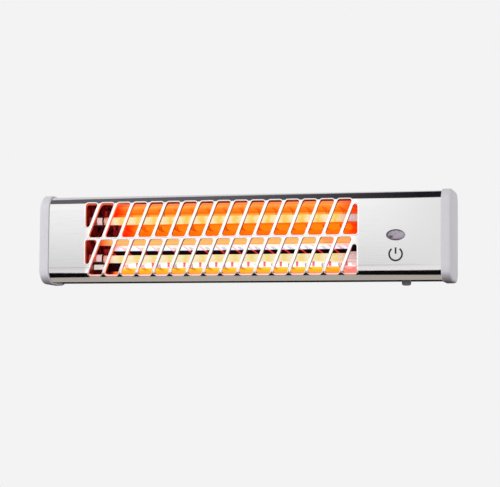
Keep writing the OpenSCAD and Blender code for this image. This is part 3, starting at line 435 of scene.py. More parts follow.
def polished_aluminium():
    """Polished aluminium reflector: a mirror with the tubes' glow painted on it in bands of colour
    and light.
    """
    made, tree, shader, place = begin_finish("polished_aluminium", Metallic=1.0)
    axis = axes(tree, place)
    along, height = axis["X"], axis["Z"]
    # Up the bay, in metres: the colour of each band and how strongly the painted glow fills it. The
    # bands are painted light and painted reflections, the dark band above the lower tube among them.
    bands = ((-0.0540, "F0902A", 0.50), (-0.0372, "FFAC2C", 0.50), (-0.0362, "E8EEFF", 0.36),
             (-0.0217, "E8EEFF", 0.36), (-0.0211, "1C0506", 0.02), (-0.0143, "240808", 0.02),
             (-0.0137, "E0E8FF", 0.46), (-0.0074, "E0E8FF", 0.46), (-0.0068, "F4906A", 0.85),
             (-0.0058, "FFBC6C", 0.95), (0.0016, "FFC070", 0.95), (0.0026, "FF6E0C", 0.42),
             (0.0290, "FF6E0C", 0.42), (0.0303, "FFA040", 0.50), (0.0330, "FFA040", 0.50),
             (0.0345, "FF700E", 0.42), (0.0400, "FF7A1A", 0.42), (0.0470, "FFB070", 0.60),
             (0.0540, "FFC088", 0.80))
    half = bands[-1][0]
    share = between(tree, height, 0.0, 1.0, -half, half)
    tint = colour_bands(tree, share, [((z + half) / (2 * half), code) for z, code, _ in bands])
    fill = colour_bands(tree, share, [((z + half) / (2 * half), (g, g, g, 1)) for z, _, g in bands])
    # Painted reflections of the grille's bars in the troughs: slanting over the dark band, upright
    # below.
    slant = maths(tree, "MULTIPLY_ADD", height, 1.246, along)
    painted_bar_glint = times(tree, stripes(tree, slant, 0.0216, -0.0745, 0.0032),
                  stripes(tree, height, 1.0, -0.0144, 0.0124))
    tint = mixed(tree, painted_bar_glint, tint, between(tree, height, "B82A2E", "F4A898", -0.0152, -0.0136))
    fill = between(tree, painted_bar_glint, fill, 0.68)
    upright = times(tree, stripes(tree, along, 0.0217, -0.0630, 0.0034),
                    stripes(tree, height, 1.0, -0.0326, 0.0074))
    tint = mixed(tree, upright, tint, "D0606A")
    # Along the bay the glow is painted: dark red-black at the left end, then red, then the full
    # colour, and red again at the right. The ridge between the troughs keeps its colour further to
    # the left.
    smudge = between(tree, grain(tree, place, (0.012, 0.02, 0.012), 3.0), -0.008, 0.008)
    below = stripes(tree, height, 1.0, 0.0120, 0.018)
    ridge = window(tree, height, -0.0064, 0.0018, 0.0008)
    spot = maths(tree, "MULTIPLY_ADD", below, -0.012, along)
    spot = maths(tree, "MULTIPLY_ADD", ridge, 0.022, spot)
    spot = maths(tree, "ADD", spot, smudge)
    lower = between(tree, height, 1.0, 0.0, -0.0068, -0.0058)
    ends_place = maths(tree, "MULTIPLY_ADD", lower, 0.012, spot)
    ends = colour_bands(tree, between(tree, ends_place, 0.0, 1.0, -0.210, 0.155), [
        (0.0, "E04A3A"), (0.085, "FF6A50"), (0.11, "FFB4A0"), (0.14, "FFFFFF"), (0.90, "FFFFFF"),
        (0.96, "FF9088"), (1.0, "E86A68")])
    white_end = times(tree, between(tree, height, 1.0, 0.0, 0.0018, 0.0028),
                      between(tree, along, 0.0, 1.0, 0.10, 0.12))
    lit = mixed(tree, 1.0, tint, mixed(tree, white_end, ends, "FFE8E4"), "MULTIPLY")
    # Dark red-black with red smudges at the left end, glowing faintly.
    dark_red_end = between(tree, grain(tree, place, (0.004, 0.02, 0.009), 3.0), "22080E", "A02020",
                   0.40, 0.66)
    # A near-black block below the lower tube, and a pale patch of painted light to the left of it.
    block = times(tree, window(tree, along, -0.190, -0.171, 0.001),
                  window(tree, height, -0.0410, -0.0300, 0.0006))
    outside_dark_marks = times(tree, between(tree, spot, 0.0, 1.0, -0.1845, -0.1815),
                  between(tree, block, 1.0, 0.0))
    painted_pale_patch = times(tree, window(tree, along, -0.2095, -0.197, 0.0010),
                 window(tree, height, -0.0380, -0.0305, 0.0008))
    shade = mixed(tree, outside_dark_marks, mixed(tree, block, dark_red_end, "1A050B"), lit)
    shade = mixed(tree, painted_pale_patch, shade, "EFE8E4")
    # The last slot at the right shows a black end above the lower tube and a pink one below.
    black_end = times(tree, between(tree, along, 0.0, 1.0, 0.1380, 0.1390),
                      window(tree, height, -0.0206, -0.0030, 0.0005))
    pink_end = times(tree, between(tree, along, 0.0, 1.0, 0.1265, 0.1280),
                     between(tree, height, 1.0, 0.0, -0.0375, -0.0365))
    shade = mixed(tree, pink_end, mixed(tree, black_end, shade, "12060A"), "E88A80")
    # On the ridge the mirror is darkened and the tubes' light is painted on evenly, so it mirrors
    # little.
    feed(shader, Base_Color=mixed(tree, times(tree, ridge, 0.8), shade, "000000"),
         Emission_Color=shade,
         Emission_Strength=between(tree, outside_dark_marks, between(tree, painted_pale_patch, 0.20, 0.80), fill),
         Roughness=between(tree, grain(tree, place, 0.02), 0.04, 0.09))
    relief(tree, shader, grain(tree, place, (0.05, 0.02, 0.02)), 0.00006)
    return made


def lit_quartz():
    """Milky quartz tube, lit from within: cream, with yellow patches that fade in the lower one."""
    made, tree, shader, place = begin_finish("lit_quartz", Roughness=0.25, IOR=1.46, Alpha=0.8)
    spot = axes(tree, place)
    along = spot["X"]
    blur = between(tree, grain(tree, place, (0.008, 0.008, 0.006)), -0.006, 0.006)
    patch = stripes(tree, maths(tree, "ADD", along, blur), 0.0221, -0.0560, 0.0075, 1.0)
    warm = mixed(tree, between(tree, spot["Z"], 0.0, 1.0, -0.001, 0.001),
                 mixed(tree, patch, "F8F0CC", "F4DC78"), mixed(tree, patch, "FFEEBE", "FFCE30"))
    ends = maths(tree, "MINIMUM", between(tree, along, 0.0, 1.0, -0.192, -0.176),
                 between(tree, along, 1.0, 0.0, 0.122, 0.142))
    feed(shader, Base_Color=between(tree, ends, "E8D0D0", "7A6A50"),
         Emission_Color=between(tree, ends, "FFA890", warm),
         Emission_Strength=between(tree, ends, 0.2, 0.82))
    return made


def glowing_wire():
    """Resistance wire at full heat: it gives light and shows almost no surface."""
    made, tree, shader, place = begin_finish("glowing_wire", Metallic=1.0, Roughness=0.6,
                                             Base_Color="C08040", Emission_Color="FFC860")
    hot = between(tree, grain(tree, place, (0.02, 1.0, 1.0)), 0.9, 1.6, 0.3, 0.7)
    left = between(tree, axes(tree, place)["X"], 0.0, 1.0, -0.200, -0.175)
    feed(shader, Emission_Strength=times(tree, hot, left))
    return made


def steatite(axis_height, left_mouth, right_mouth):
    """Unglazed steatite ceramic: pale, chalky, with fine specks; painted shade darkens the left ones
    outside, and painted light tints the rest.
    """
    made, tree, shader, place = begin_finish("steatite", Roughness=0.62)
    specks = grain(tree, place, 0.0007, 3.0)
    chalk = between(tree, specks, "D6CCD0", "F2EAEE", 0.32, 0.5)
    spot = axes(tree, place)
    # The two tubes' axes lie at equal heights above and below the middle.
    rise = maths(tree, "ABSOLUTE", spot["Z"])
    near = window(tree, rise, axis_height - 0.0046, axis_height + 0.0040, 0.0008)
    open_face = window(tree, spot["X"], left_mouth - 0.0014, right_mouth + 0.0014, 0.0004)
    at_right = between(tree, spot["X"], 0.0, 1.0, -0.01, 0.01)
    sound = times(tree, near, between(tree, open_face, 1.0, 0.0))
    # Round the sound part: painted shade at the left, the reflector's light painted on at the right,
    # and a faint painted glow on the sound part itself. The left ones carry a painted red glow near
    # their bulkhead, and the lower one more than the upper.
    root = times(tree, sound, between(tree, spot["X"], 1.0, 0.0, left_mouth - 0.0092,
                                      left_mouth - 0.0084))
    upper = between(tree, spot["Z"], 0.0, 1.0, -0.001, 0.001)
    near_lit = mixed(tree, upper, "F6E0DC", "F0561E")
    painted_light_and_shade = mixed(tree, at_right, "4A1C22", near_lit)
    red = mixed(tree, upper, "E05A48", "A03028")
    lit = mixed(tree, sound, near_lit, mixed(tree, at_right, "FFD8DC", "F0A098"))
    feed(shader, Base_Color=mixed(tree, root, mixed(tree, sound, painted_light_and_shade, chalk), red),
         Emission_Color=mixed(tree, root, lit, red),
         Emission_Strength=between(tree, sound, times(tree, at_right, 0.40), 0.28))
    relief(tree, shader, specks, 0.00003)
    return made


def smoked_polycarbonate(low, high):
    """Lilac-grey polycarbonate, polished by its mould: darker where the lamp lies, with painted light
    towards the right, painted shade along its upper left edge, and darker towards the bottom.
    """
    made, tree, shader, place = begin_finish("smoked_polycarbonate", IOR=1.58, Roughness=0.08)
    middle, half = (low + high) / 2, (high - low) / 2
    # From the lens's middle, in half widths and half heights.
    spot = add_node(tree, "ShaderNodeMapping",
                    {"Vector": place, "Location": (-middle.x / half.x, 0, -middle.z / half.z),
                     "Scale": (1 / half.x, 0, 1 / half.z)}).outputs[0]

    def measured(kind, *to):
        return add_node(tree, "ShaderNodeVectorMath", dict(enumerate((spot, *to))),
                        operation=kind).outputs["Value"]

    side = axes(tree, spot)
    depth = between(tree, grain(tree, place, 0.003), "948A98", "B2A8B4", 0.35, 0.65)
    # Painted light towards the right, darker towards the bottom, and painted shade along the upper
    # left edge.
    shade = mixed(tree, between(tree, side["X"], 0.0, 0.7, 0.3, 0.9), depth, "CCC6D2")
    shade = mixed(tree, between(tree, side["Z"], 0.8, 0.0, -0.85, -0.45), shade, "7E6076")
    lamp = between(tree, measured("DISTANCE", (-0.50, 0, -0.36)), 0.9, 0.0, 0.12, 0.36)
    edge = times(tree, between(tree, measured("LENGTH"), 0.0, 1.0, 0.70, 0.84),
                 between(tree, measured("DOT_PRODUCT", (-0.55, 0, 0.85)), 0.40, 1.0, -0.1, 0.6))
    feed(shader, Base_Color=mixed(tree, edge, mixed(tree, lamp, shade, "2E2630"), "2A222C"))
    return made


def earth_sleeve():
    """Earth lead's sleeve: green with a yellow stripe wound along it."""
    made, tree, shader, place = begin_finish("earth_sleeve", Roughness=0.45)
    stripe = add_node(tree, "ShaderNodeTexWave", {"Vector": place, "Scale": 45.0, "Distortion": 0.6},
                      bands_direction="DIAGONAL")
    feed(shader, Base_Color=between(tree, stripe.outputs[1], "2F8A3A", "E3D23A", 0.52, 0.6))
    return made


def glass_sleeve():
    """Braided glass-fibre sleeving: white, matte, with a fine crossed braid."""
    made, tree, shader, place = begin_finish("glass_sleeve", Roughness=0.75)
    # Braid strands are about 0.4 mm apart; they are drawn 0.8 mm apart.
    turned_place = add_node(tree, "ShaderNodeMapping",
                            {"Vector": place, "Rotation": (0.6, 0.78, 0.4)}).outputs[0]
    braid = times(tree, *[add_node(tree, "ShaderNodeTexWave",
                                   {"Vector": turned_place, "Scale": 390.0, "Distortion": 0.4},
                                   bands_direction=way).outputs[1] for way in ("X", "Y")])
    feed(shader, Base_Color=between(tree, braid, "C9C6BC", "EFEDE6"))
    relief(tree, shader, braid, 0.00006)
    return made


def speckled(name, low, high, size, rough=None, depth=0.0, detail=2.0, **values):
    """A finish whose colour, and where given its roughness and relief, follow one fine grain."""
    made, tree, shader, place = begin_finish(name, **values)
    specks = grain(tree, place, size, detail)
    feed(shader, Base_Color=between(tree, specks, low, high))
    if rough:
        feed(shader, Roughness=between(tree, specks, *rough))
    if depth:
        relief(tree, shader, specks, depth)
    return made


def bright_brass():
    """Stamped brass: warm yellow, satin, with rolling lines."""
    return speckled("bright_brass", "B08A45", "D9B96E", (0.0008, 0.0008, 0.006), (0.22, 0.36),
                    Metallic=1.0)


def grey_nylon():
    """Moulded grey nylon of the cord's outlet: satin, with a soft grain."""
    return speckled("grey_nylon", "5C585C", "706C70", 0.0008, (0.4, 0.5), IOR=1.53)


def black_nylon():
    """Moulded black nylon: very dark grey with a soft satin grain."""
    return speckled("black_nylon", "1F1F21", "303033", 0.0006, (0.38, 0.5), 0.00003, IOR=1.53)


def white_nylon():
    """White moulded nylon: slightly warm, half matte."""
    return speckled("white_nylon", "DEDCD5", "EFEEE9", 0.004, (0.4, 0.5), IOR=1.53)


def fibre_washer():
    """Pressed fibre washer: flat black and slightly rough."""
    return speckled("fibre_washer", "19191A", "2C2B2A", (0.0004, 0.002, 0.002), None, 0.00005, 3.0,
                    Roughness=0.8)


def neon_glass():
    """Small neon lamp, unlit: clear glass with a warm tint over dark electrodes."""
    return speckled("neon_glass", "6E5A50", "B79C8C", (0.004, 0.0015, 0.004), Roughness=0.06,
                    IOR=1.5)


def printed_ink():
    """Screen-printed black ink: dense, matte, with slightly broken cover."""
    return speckled("printed_ink", "0E0E0F", "232325", 0.0004, Roughness=0.6)


# ---- geometry nodes ----

def begin_growth(name, **inputs):
    """A geometry node tree with named inputs, given as lists of names for each socket type."""
    tree = bpy.data.node_groups.new(name, "GeometryNodeTree")
    tree.interface.new_socket("Geometry", in_out="INPUT", socket_type="NodeSocketGeometry")
    for kind, labels in inputs.items():
        for label in labels:
            tree.interface.new_socket(label, in_out="INPUT", socket_type="NodeSocket" + kind)
    tree.interface.new_socket("Geometry", in_out="OUTPUT", socket_type="NodeSocketGeometry")
    return tree, add_node(tree, "NodeGroupInput").outputs


def end_growth(tree, geometry, finish):
    """Ends a tree with real copies and a finish."""
    real = add_node(tree, "GeometryNodeRealizeInstances", {"Geometry": geometry})
    dressed = add_node(tree, "GeometryNodeSetMaterial",
                       {"Geometry": real.outputs[0], "Material": finish})
    add_node(tree, "NodeGroupOutput", {"Geometry": dressed.outputs[0]})
    return tree


def grown(name, base, tree, values, smooth_angle=40):
    """What a tree makes of a base mesh, as a plain mesh piece at the origin."""
    seed = new_piece(name + "_base", base)
    growth = seed.modifiers.new("growth", "NODES")
    growth.node_group = tree
    for item in tree.interface.items_tree:
        if item.in_out == "INPUT" and item.name in values:
            growth[item.identifier] = values[item.name]
    seed.update_tag()
    depsgraph = bpy.context.evaluated_depsgraph_get()
    mesh = bpy.data.meshes.new_from_object(seed.evaluated_get(depsgraph))
    bpy.data.objects.remove(seed)
    if not mesh.polygons:
        raise RuntimeError(f"{name}: the node tree made no faces")
    form = bmesh.new()
    form.from_mesh(mesh)
    bmesh.ops.recalc_face_normals(form, faces=form.faces)
    form.to_mesh(mesh)
    form.free()
    return new_piece(name, mesh, smooth_angle=smooth_angle)


def winding_tree(finish):
    """A wire wound round the X axis; its radius can open and close, and its end turns lie close."""
    tree, given = begin_growth("winding", Float=(
        "Length", "Turns", "Radius", "Wire Radius", "Opening", "End Rise", "Steps"), Int=("Sides",))

    def sums(kind, *terms):
        return maths(tree, kind, *terms)

    turns = given["Turns"]
    line = add_node(tree, "GeometryNodeCurvePrimitiveLine", {"End": (1.0, 0.0, 0.0)})
    fine = add_node(tree, "GeometryNodeResampleCurve",
                    {"Curve": line.outputs[0], "Count": sums("MULTIPLY", turns, given["Steps"])})
    share = add_node(tree, "GeometryNodeSplineParameter").outputs["Factor"]
    turn = sums("MULTIPLY", share, turns)
    left = sums("SUBTRACT", turns, turn)
    # The rise along the axis: slow over the first and last turns, even between them.
    ends = sums("ADD", sums("MINIMUM", turn, 1.0),
                sums("SUBTRACT", 1.0, sums("MINIMUM", left, 1.0)))
    middle = add_node(tree, "ShaderNodeMapRange",
                      {"Value": turn, "From Min": 1.0,
                       "From Max": sums("SUBTRACT", turns, 1.0)}).outputs[0]
    rest = sums("SUBTRACT", 1.0, sums("MULTIPLY", given["End Rise"], 2.0))
    rise = sums("MULTIPLY_ADD", ends, given["End Rise"], sums("MULTIPLY", middle, rest))
    opened = sums("MINIMUM", sums("DIVIDE", sums("MINIMUM", turn, left), given["Opening"]), 1.0)
    radius = sums("MULTIPLY", opened, given["Radius"])
    angle = sums("MULTIPLY", turn, math.tau)
    spot = add_node(tree, "ShaderNodeCombineXYZ",
                    {"X": sums("MULTIPLY", rise, given["Length"]),
                     "Y": sums("MULTIPLY", radius, sums("COSINE", angle)),
                     "Z": sums("MULTIPLY", radius, sums("SINE", angle))})
    wound = add_node(tree, "GeometryNodeSetPosition",
                     {"Geometry": fine.outputs[0], "Position": spot.outputs[0]})
    ring = add_node(tree, "GeometryNodeCurvePrimitiveCircle",
                    {"Resolution": given["Sides"], "Radius": given["Wire Radius"]})
    wire = add_node(tree, "GeometryNodeCurveToMesh",
                    {"Curve": wound.outputs[0], "Profile Curve": ring.outputs[0],
                     "Fill Caps": True})
    return end_growth(tree, wire.outputs[0], finish)


def wound(name, finish, **values):
    """A wire wound along X from the origin; an underscore in a value's name stands for a space."""
    base = bpy.data.meshes.new(name)
    base.from_pydata([(0, 0, 0)], [], [])
    return grown(name, base, winding_tree(finish),
                 {key.replace("_", " "): value for key, value in values.items()}, smooth_angle=80)


def rim_tree(finish):
    """A round bead along every edge of the base mesh, such as the rolled rim of a slot."""
    tree, given = begin_growth("rolled_rim", Float=("Radius",), Int=("Sides",))
    lines = add_node(tree, "GeometryNodeMeshToCurve", {"Mesh": given["Geometry"]})
    ring = add_node(tree, "GeometryNodeCurvePrimitiveCircle",
                    {"Resolution": given["Sides"], "Radius": given["Radius"]})
    bead = add_node(tree, "GeometryNodeCurveToMesh",
                    {"Curve": lines.outputs[0], "Profile Curve": ring.outputs[0]})
    return end_growth(tree, bead.outputs[0], finish)


def fastening_tree(finish, seed):
    """One shaped fastening on each point of the base mesh, each turned by its own amount."""
    tree, given = begin_growth("fastenings", Object=("Shape",), Vector=("Facing",))
    shape = add_node(tree, "GeometryNodeObjectInfo", {"Object": given["Shape"]})
    facing = add_node(tree, "FunctionNodeAlignRotationToVector", {"Vector": given["Facing"]},
                      axis="Z")
    turn = add_node(tree, "FunctionNodeRandomValue", {2: 0.0, 3: math.pi, 8: seed},
                    data_type="FLOAT")
    spin = add_node(tree, "FunctionNodeAxisAngleToRotation",
                    {"Axis": (0.0, 0.0, 1.0), "Angle": turn.outputs[1]})
    rotation = add_node(tree, "FunctionNodeRotateRotation",
                        {"Rotation": facing.outputs[0], "Rotate By": spin.outputs[0]},
                        rotation_space="LOCAL")
    points = add_node(tree, "GeometryNodeMeshToPoints", {"Mesh": given["Geometry"]})
    copies = add_node(tree, "GeometryNodeInstanceOnPoints",
                      {"Points": points.outputs[0], "Instance": shape.outputs["Geometry"],
                       "Rotation": rotation.outputs[0]})
    return end_growth(tree, copies.outputs[0], finish)


# ---- shapes ----

# Thickness of a rivet's flat head.
RIVET_HEAD = 0.00125


def side_view(front, rear, half_height, front_r, rear_r):
    """The casing seen from its end, as (y, z) points: a box with rounded corners."""
    steps = 12
    corners = ((front + front_r, -1, front_r), (rear - rear_r, -1, rear_r),
               (rear - rear_r, 1, rear_r), (front + front_r, 1, front_r))
    points = []
    for start, (y, up, r) in zip((180, 270, 0, 90), corners):
        for i in range(steps + 1):
            turn = math.radians(start + 90 * i / steps)
            points.append((y + r * math.cos(turn), up * (half_height - r) + r * math.sin(turn)))
    return points


def turned(profile):
    """A closed solid turned round the Z axis from (radius, height) points, lowest first."""
    segments = 24
    turns = [math.tau * i / segments for i in range(segments)]
    return lofted(bmesh.new(), [[Vector((r * math.cos(a), r * math.sin(a), z)) for a in turns]
                                for r, z in profile])


def cross(arm, half_width, z):
    """The twelve corners of a cross recess at one height."""
    corners = []
    for quarter in range(4):
        turn = Matrix.Rotation(math.pi / 2 * quarter, 3, "Z")
        corners += [turn @ Vector(p) for p in ((arm, -half_width, z), (arm, half_width, z),
                                               (half_width, half_width, z))]
    return corners


def pan_head_screw(head_r, head_h, shank_r, shank):
    """A pan-head screw on the Z axis with a cross recess; its seat is at the origin."""
    form = turned([(shank_r * 0.3, -shank), (shank_r, -shank + shank_r * 1.2), (shank_r, 0.00005),
                   (head_r, 0.00005), (head_r, head_h * 0.4), (head_r * 0.96, head_h * 0.68),
                   (head_r * 0.86, head_h * 0.9), (head_r * 0.72, head_h)])
    crown = max(form.faces, key=lambda face: face.calc_center_median().z)
    edges = list(crown.edges)
    form.faces.remove(crown)
    outer = [form.verts.new(p) for p in cross(head_r * 0.56, head_r * 0.13, head_h)]
    inner = [form.verts.new(p) for p in cross(head_r * 0.34, head_r * 0.08, head_h * 0.3)]
    for i in range(12):
        j = (i + 1) % 12
        edges.append(form.edges.new((outer[i], outer[j])))
        form.faces.new((outer[i], outer[j], inner[j], inner[i]))
    form.faces.new(inner)
    bmesh.ops.triangle_fill(form, edges=edges, use_beauty=True)
    bmesh.ops.recalc_face_normals(form, faces=form.faces)
    return new_piece("screw_shape", form)


def domed_rivet(shank_r, grip):
    """A rivet on the Z axis: flat head below the seat at the origin, dome above the grip."""
    head_r = shank_r * 1.6
    profile = [(head_r * 0.9, -RIVET_HEAD), (head_r, -0.0011), (head_r, -0.0001), (shank_r, -0.00005),
               (shank_r, grip), (head_r, grip + 0.00005)]
    dome = [(head_r * math.cos(a), grip + 0.0001 + 0.00115 * math.sin(a))
            for a in (math.pi / 2 * i / 6 for i in range(1, 6))]
    return new_piece("rivet_shape", turned(profile + dome))


def fasten(name, node, shape, axis, sense, reach, seed, finish):
    """Stands a shape at each solid of a CAD node and replaces the node with the result.

    The seat lies reach metres in from the solid's end on the given side of the axis.
    """
    spots = []
    for low, high in bodies_of(node):
        spot = (low + high) / 2
        spot[axis] = high[axis] - reach if sense > 0 else low[axis] + reach
        spots.append(spot)
    base = bpy.data.meshes.new(name)
    base.from_pydata(spots, [], [])
    facing = [0.0, 0.0, 0.0]
    facing[axis] = float(sense)
    piece = grown(name, base, fastening_tree(finish, seed),
                  {"Shape": shape, "Facing": facing}, smooth_angle=32)
    bpy.data.objects.remove(shape)
    settle(piece, "heater", "zinc", node)


def sleeved(node, slot, finish):
    """A lead's own shape with its small facets shaded as one curve."""
    settle(new_piece(f"sleeved_{node}", merged(node), finish, smooth_angle=65), "heater", slot, node)


# ---- operators ----

def level(z, *spots):
    """The corners of a level card at height z."""
    return [(x, y, z) for x, y in spots]


def studio_card(name, corners, shade, right_shade=None, fade=(0.0, 1.0)):
    """A card that only reflections see, as studio flags are; it may fade to another shade along X."""
    form = bmesh.new()
    form.faces.new([form.verts.new(c) for c in corners])
    made = bpy.data.materials.new(name)
    made.use_nodes = True
    tree = made.node_tree
    tree.nodes.clear()
    light = add_node(tree, "ShaderNodeEmission", {"Color": linear(shade)})
    if right_shade:
        place = add_node(tree, "ShaderNodeTexCoord").outputs["Object"]
        feed(light, Color=between(tree, axes(tree, place)["X"], shade, right_shade, *fade))
    add_node(tree, "ShaderNodeOutputMaterial", {"Surface": light.outputs[0]})
    card = new_piece(name, form, made)
    card.visible_camera = card.visible_diffuse = card.visible_shadow = False
    card.visible_transmission = card.visible_volume_scatter = False


class BuildStage(bpy.types.Operator):
    """Sets the camera, the pale floor, the lamp, the world and the studio cards"""

    bl_idname = "bar_heater.stage"
    bl_label = "Stage"

    def execute(self, context):
        scene = context.scene
        scene.view_settings.view_transform = "Standard"

        # Camera: below the heater's right end, looking up and to the left.
        yaw, pitch, roll = (math.radians(a) for a in (13.949, 4.75, 0.499))
        ahead = Vector((-math.sin(yaw) * math.cos(pitch), math.cos(yaw) * math.cos(pitch),
                        math.sin(pitch)))
        side = Vector((math.cos(yaw), math.sin(yaw), 0.0))
        over = side.cross(ahead)
        right = math.cos(roll) * side + math.sin(roll) * over
        up = math.cos(roll) * over - math.sin(roll) * side
        data = bpy.data.cameras.new("camera")
        data.lens, data.sensor_width, data.sensor_fit = 123.85, 36.0, "HORIZONTAL"
        data.clip_start, data.clip_end = 0.05, 50.0
        camera = bpy.data.objects.new("camera", data)
        turn = Matrix((right, up, -ahead)).transposed().to_4x4()
        camera.matrix_world = Matrix.Translation((0.54375, -2.2359, -0.19178)) @ turn
        scene.collection.objects.link(camera)
        scene.camera = camera

        # World: pale behind the object, white light on it, and a soft horizon in reflections.
        world = bpy.data.worlds.new("soft_studio")
        world.use_nodes = True
        tree = world.node_tree
        tree.nodes.clear()
        path = add_node(tree, "ShaderNodeLightPath").outputs
        seen = maths(tree, "MAXIMUM", path["Is Camera Ray"], path["Is Transmission Ray"])
        aim = axes(tree, add_node(tree, "ShaderNodeTexCoord").outputs["Generated"])
        pale = add_node(tree, "ShaderNodeBackground", {"Color": linear("F3F3F3")})
        rising = colour_bands(tree, between(tree, aim["Z"], 0.0, 1.0, 0.06, 0.11), [
            (place, (s, s, s, 1)) for place, s in ((0.0, 0.60), (0.20, 0.74), (0.48, 1.00),
                                                   (0.77, 1.24), (1.0, 1.10))])
        even = between(tree, aim["X"], 0.0, 1.0, -0.165, -0.135)
        mirrored = add_node(tree, "ShaderNodeBackground",
                            {"Color": (1, 1, 1, 1), "Strength": between(tree, even, rising, 0.89)})
        lit = add_node(tree, "ShaderNodeBackground", {"Color": (1, 1, 1, 1), "Strength": 0.72})
        glossy = add_node(tree, "ShaderNodeMixShader",
                          {0: path["Is Glossy Ray"], 1: lit.outputs[0], 2: mirrored.outputs[0]})
        whole = add_node(tree, "ShaderNodeMixShader",
                         {0: seen, 1: glossy.outputs[0], 2: pale.outputs[0]})
        add_node(tree, "ShaderNodeOutputWorld", {"Surface": whole.outputs[0]})
        scene.world = world

        # One large soft lamp, high on the left.
        data = bpy.data.lights.new("soft_lamp", "AREA")
        data.shape, data.size, data.energy = "SQUARE", 1.8, 22.0
        lamp = bpy.data.objects.new("soft_lamp", data)
        place = Vector((-1.3, -1.9, 1.3))
        lamp.matrix_world = (Matrix.Translation(place)
                             @ place.to_track_quat("Z", "Y").to_matrix().to_4x4())
        lamp.visible_glossy = False
        scene.collection.objects.link(lamp)

        # Pale floor, below the heater and out of the main view.
        form = bmesh.new()
        low = -0.42
        form.faces.new([form.verts.new(c) for c in
                        level(low, (-2.6, -3.2), (2.6, -3.2), (2.6, 1.3), (-2.6, 1.3))])
        made, floor_tree, shader, spot = begin_finish("matte_floor", Roughness=0.9)
        feed(shader, Base_Color=between(floor_tree, grain(floor_tree, spot, 0.2), "F0F0F0",
                                        "F3F3F3"))
        new_piece("floor", form, made)

        # Cards that only reflections see: the steel's bends mirror them as soft bands. On the
        # floor the dark card meets the beige one along a slanting seam.
        top, left, right = low + 0.002, -1.6, 0.9
        seam = ((left, -0.092), (right, -0.147))
        studio_card("low_dark_card", level(top, (left, -0.54), (right, -0.54), *seam[::-1]),
                    "0C0A0E")
        studio_card("low_beige_card", level(top, *seam, (right, 0.6), (left, 0.6)), "B7B0A8")
        studio_card("low_grey_card", level(top, (-2.6, -3.2), (2.6, -3.2), (2.6, -0.54),
                                           (-2.6, -0.54)), "E3E1E2", "F8F6F7", (-0.9, 0.1))
        foot = ((-1.2, 0.6), (right, 0.6))
        studio_card("rear_dark_card", level(low, *foot) + level(-0.062, *foot[::-1]), "1C191B")
        studio_card("high_dark_card", level(1.2, (-1.2, -0.77), (right, -0.77), (right, 2.1),
                                            (-1.2, -0.4)), "66646A", "18161E", (-0.36, 0.05))
        studio_card("high_grey_card", level(1.21, (-1.2, -0.4), (right, 2.1), (right, 3.4),
                                            (-1.2, 3.4)), "DEDCE0")
        return {"FINISHED"}


class FinishCover(bpy.types.Operator):
    """Brushed stainless cover, with a rolled rim and a turned-in collar round every slot"""

    bl_idname = "bar_heater.cover"
    bl_label = "Cover and grille rims"

    def execute(self, context):
        steel = brushed_stainless()
        dress(["front_cover"], steel)
        size = sizes()
        form = merged("front_cover")
        form.normal_update()
        # The grille's two ends, how far back its slots reach, and the fewest edges they can have.
        grille_left, grille_right, reach, fewest = -0.24, 0.17, 0.012, 200
        collar_t, clear = 0.0005, 0.00003
        shifts, lines = {}, []
        face_y = min(v.co.y for v in form.verts)
        for edge in form.edges:
            if len(edge.link_faces) != 2:
                continue
            middle = (edge.verts[0].co + edge.verts[1].co) / 2
            if not grille_left < middle.x < grille_right or middle.y > face_y + reach:
                continue
            skin, wall = sorted((f.normal for f in edge.link_faces), key=lambda n: n.y)
            # An edge counts where the outer skin meets the wall of a slot.
            if abs(skin.x) > 0.05 or skin.y > -0.5 or abs(wall.dot(skin)) > 0.75:
                continue
            lines.append([v.copy() for v in (edge.verts[0].co, edge.verts[1].co, skin, wall)])
        if len(lines) < fewest:
            raise RuntimeError(f"the cover shows only {len(lines)} slot edges")
        form.free()
        for a, b, skin, wall in lines:
            for end in (a, b):
                shifts.setdefault(tuple(round(c, 6) for c in end), []).append((end, skin, wall))
        order = {key: i for i, key in enumerate(shifts)}
        spots, rails, collars = [], [], bmesh.new()
        for found in shifts.values():
            skin = sum((s for _, s, _ in found), Vector()).normalized()
            wall = sum((w for _, _, w in found), Vector()).normalized()
            point = found[0][0]
            spots.append(point - skin * size.rim_sunk - wall * size.rim_r)
            deep, thick = skin * size.collar_depth, wall * collar_t
            front = point - skin * size.rim_sunk + wall * clear
            rails.append([collars.verts.new(c) for c in (front, front - deep, front - deep - thick,
                                                         front - thick)])
        pairs = [[order[tuple(round(c, 6) for c in end)] for end in (a, b)] for a, b, _, _ in lines]
        base = bpy.data.meshes.new("slot_lines")
        base.from_pydata(spots, pairs, [])
        rims = grown("slot_rims", base, rim_tree(pressed_rim()),
                     {"Radius": size.rim_r, "Sides": 10}, smooth_angle=80)
        settle(rims, "heater", "stainless")
        for a, b in pairs:
            for i in range(4):
                j = (i + 1) % 4
                collars.faces.new((rails[a][i], rails[a][j], rails[b][j], rails[b][i]))
        bmesh.ops.recalc_face_normals(collars, faces=collars.faces)
        settle(new_piece("slot_collars", collars, painted_glow_collar(), smooth_angle=50), "heater",
               "stainless")
        return {"FINISHED"}


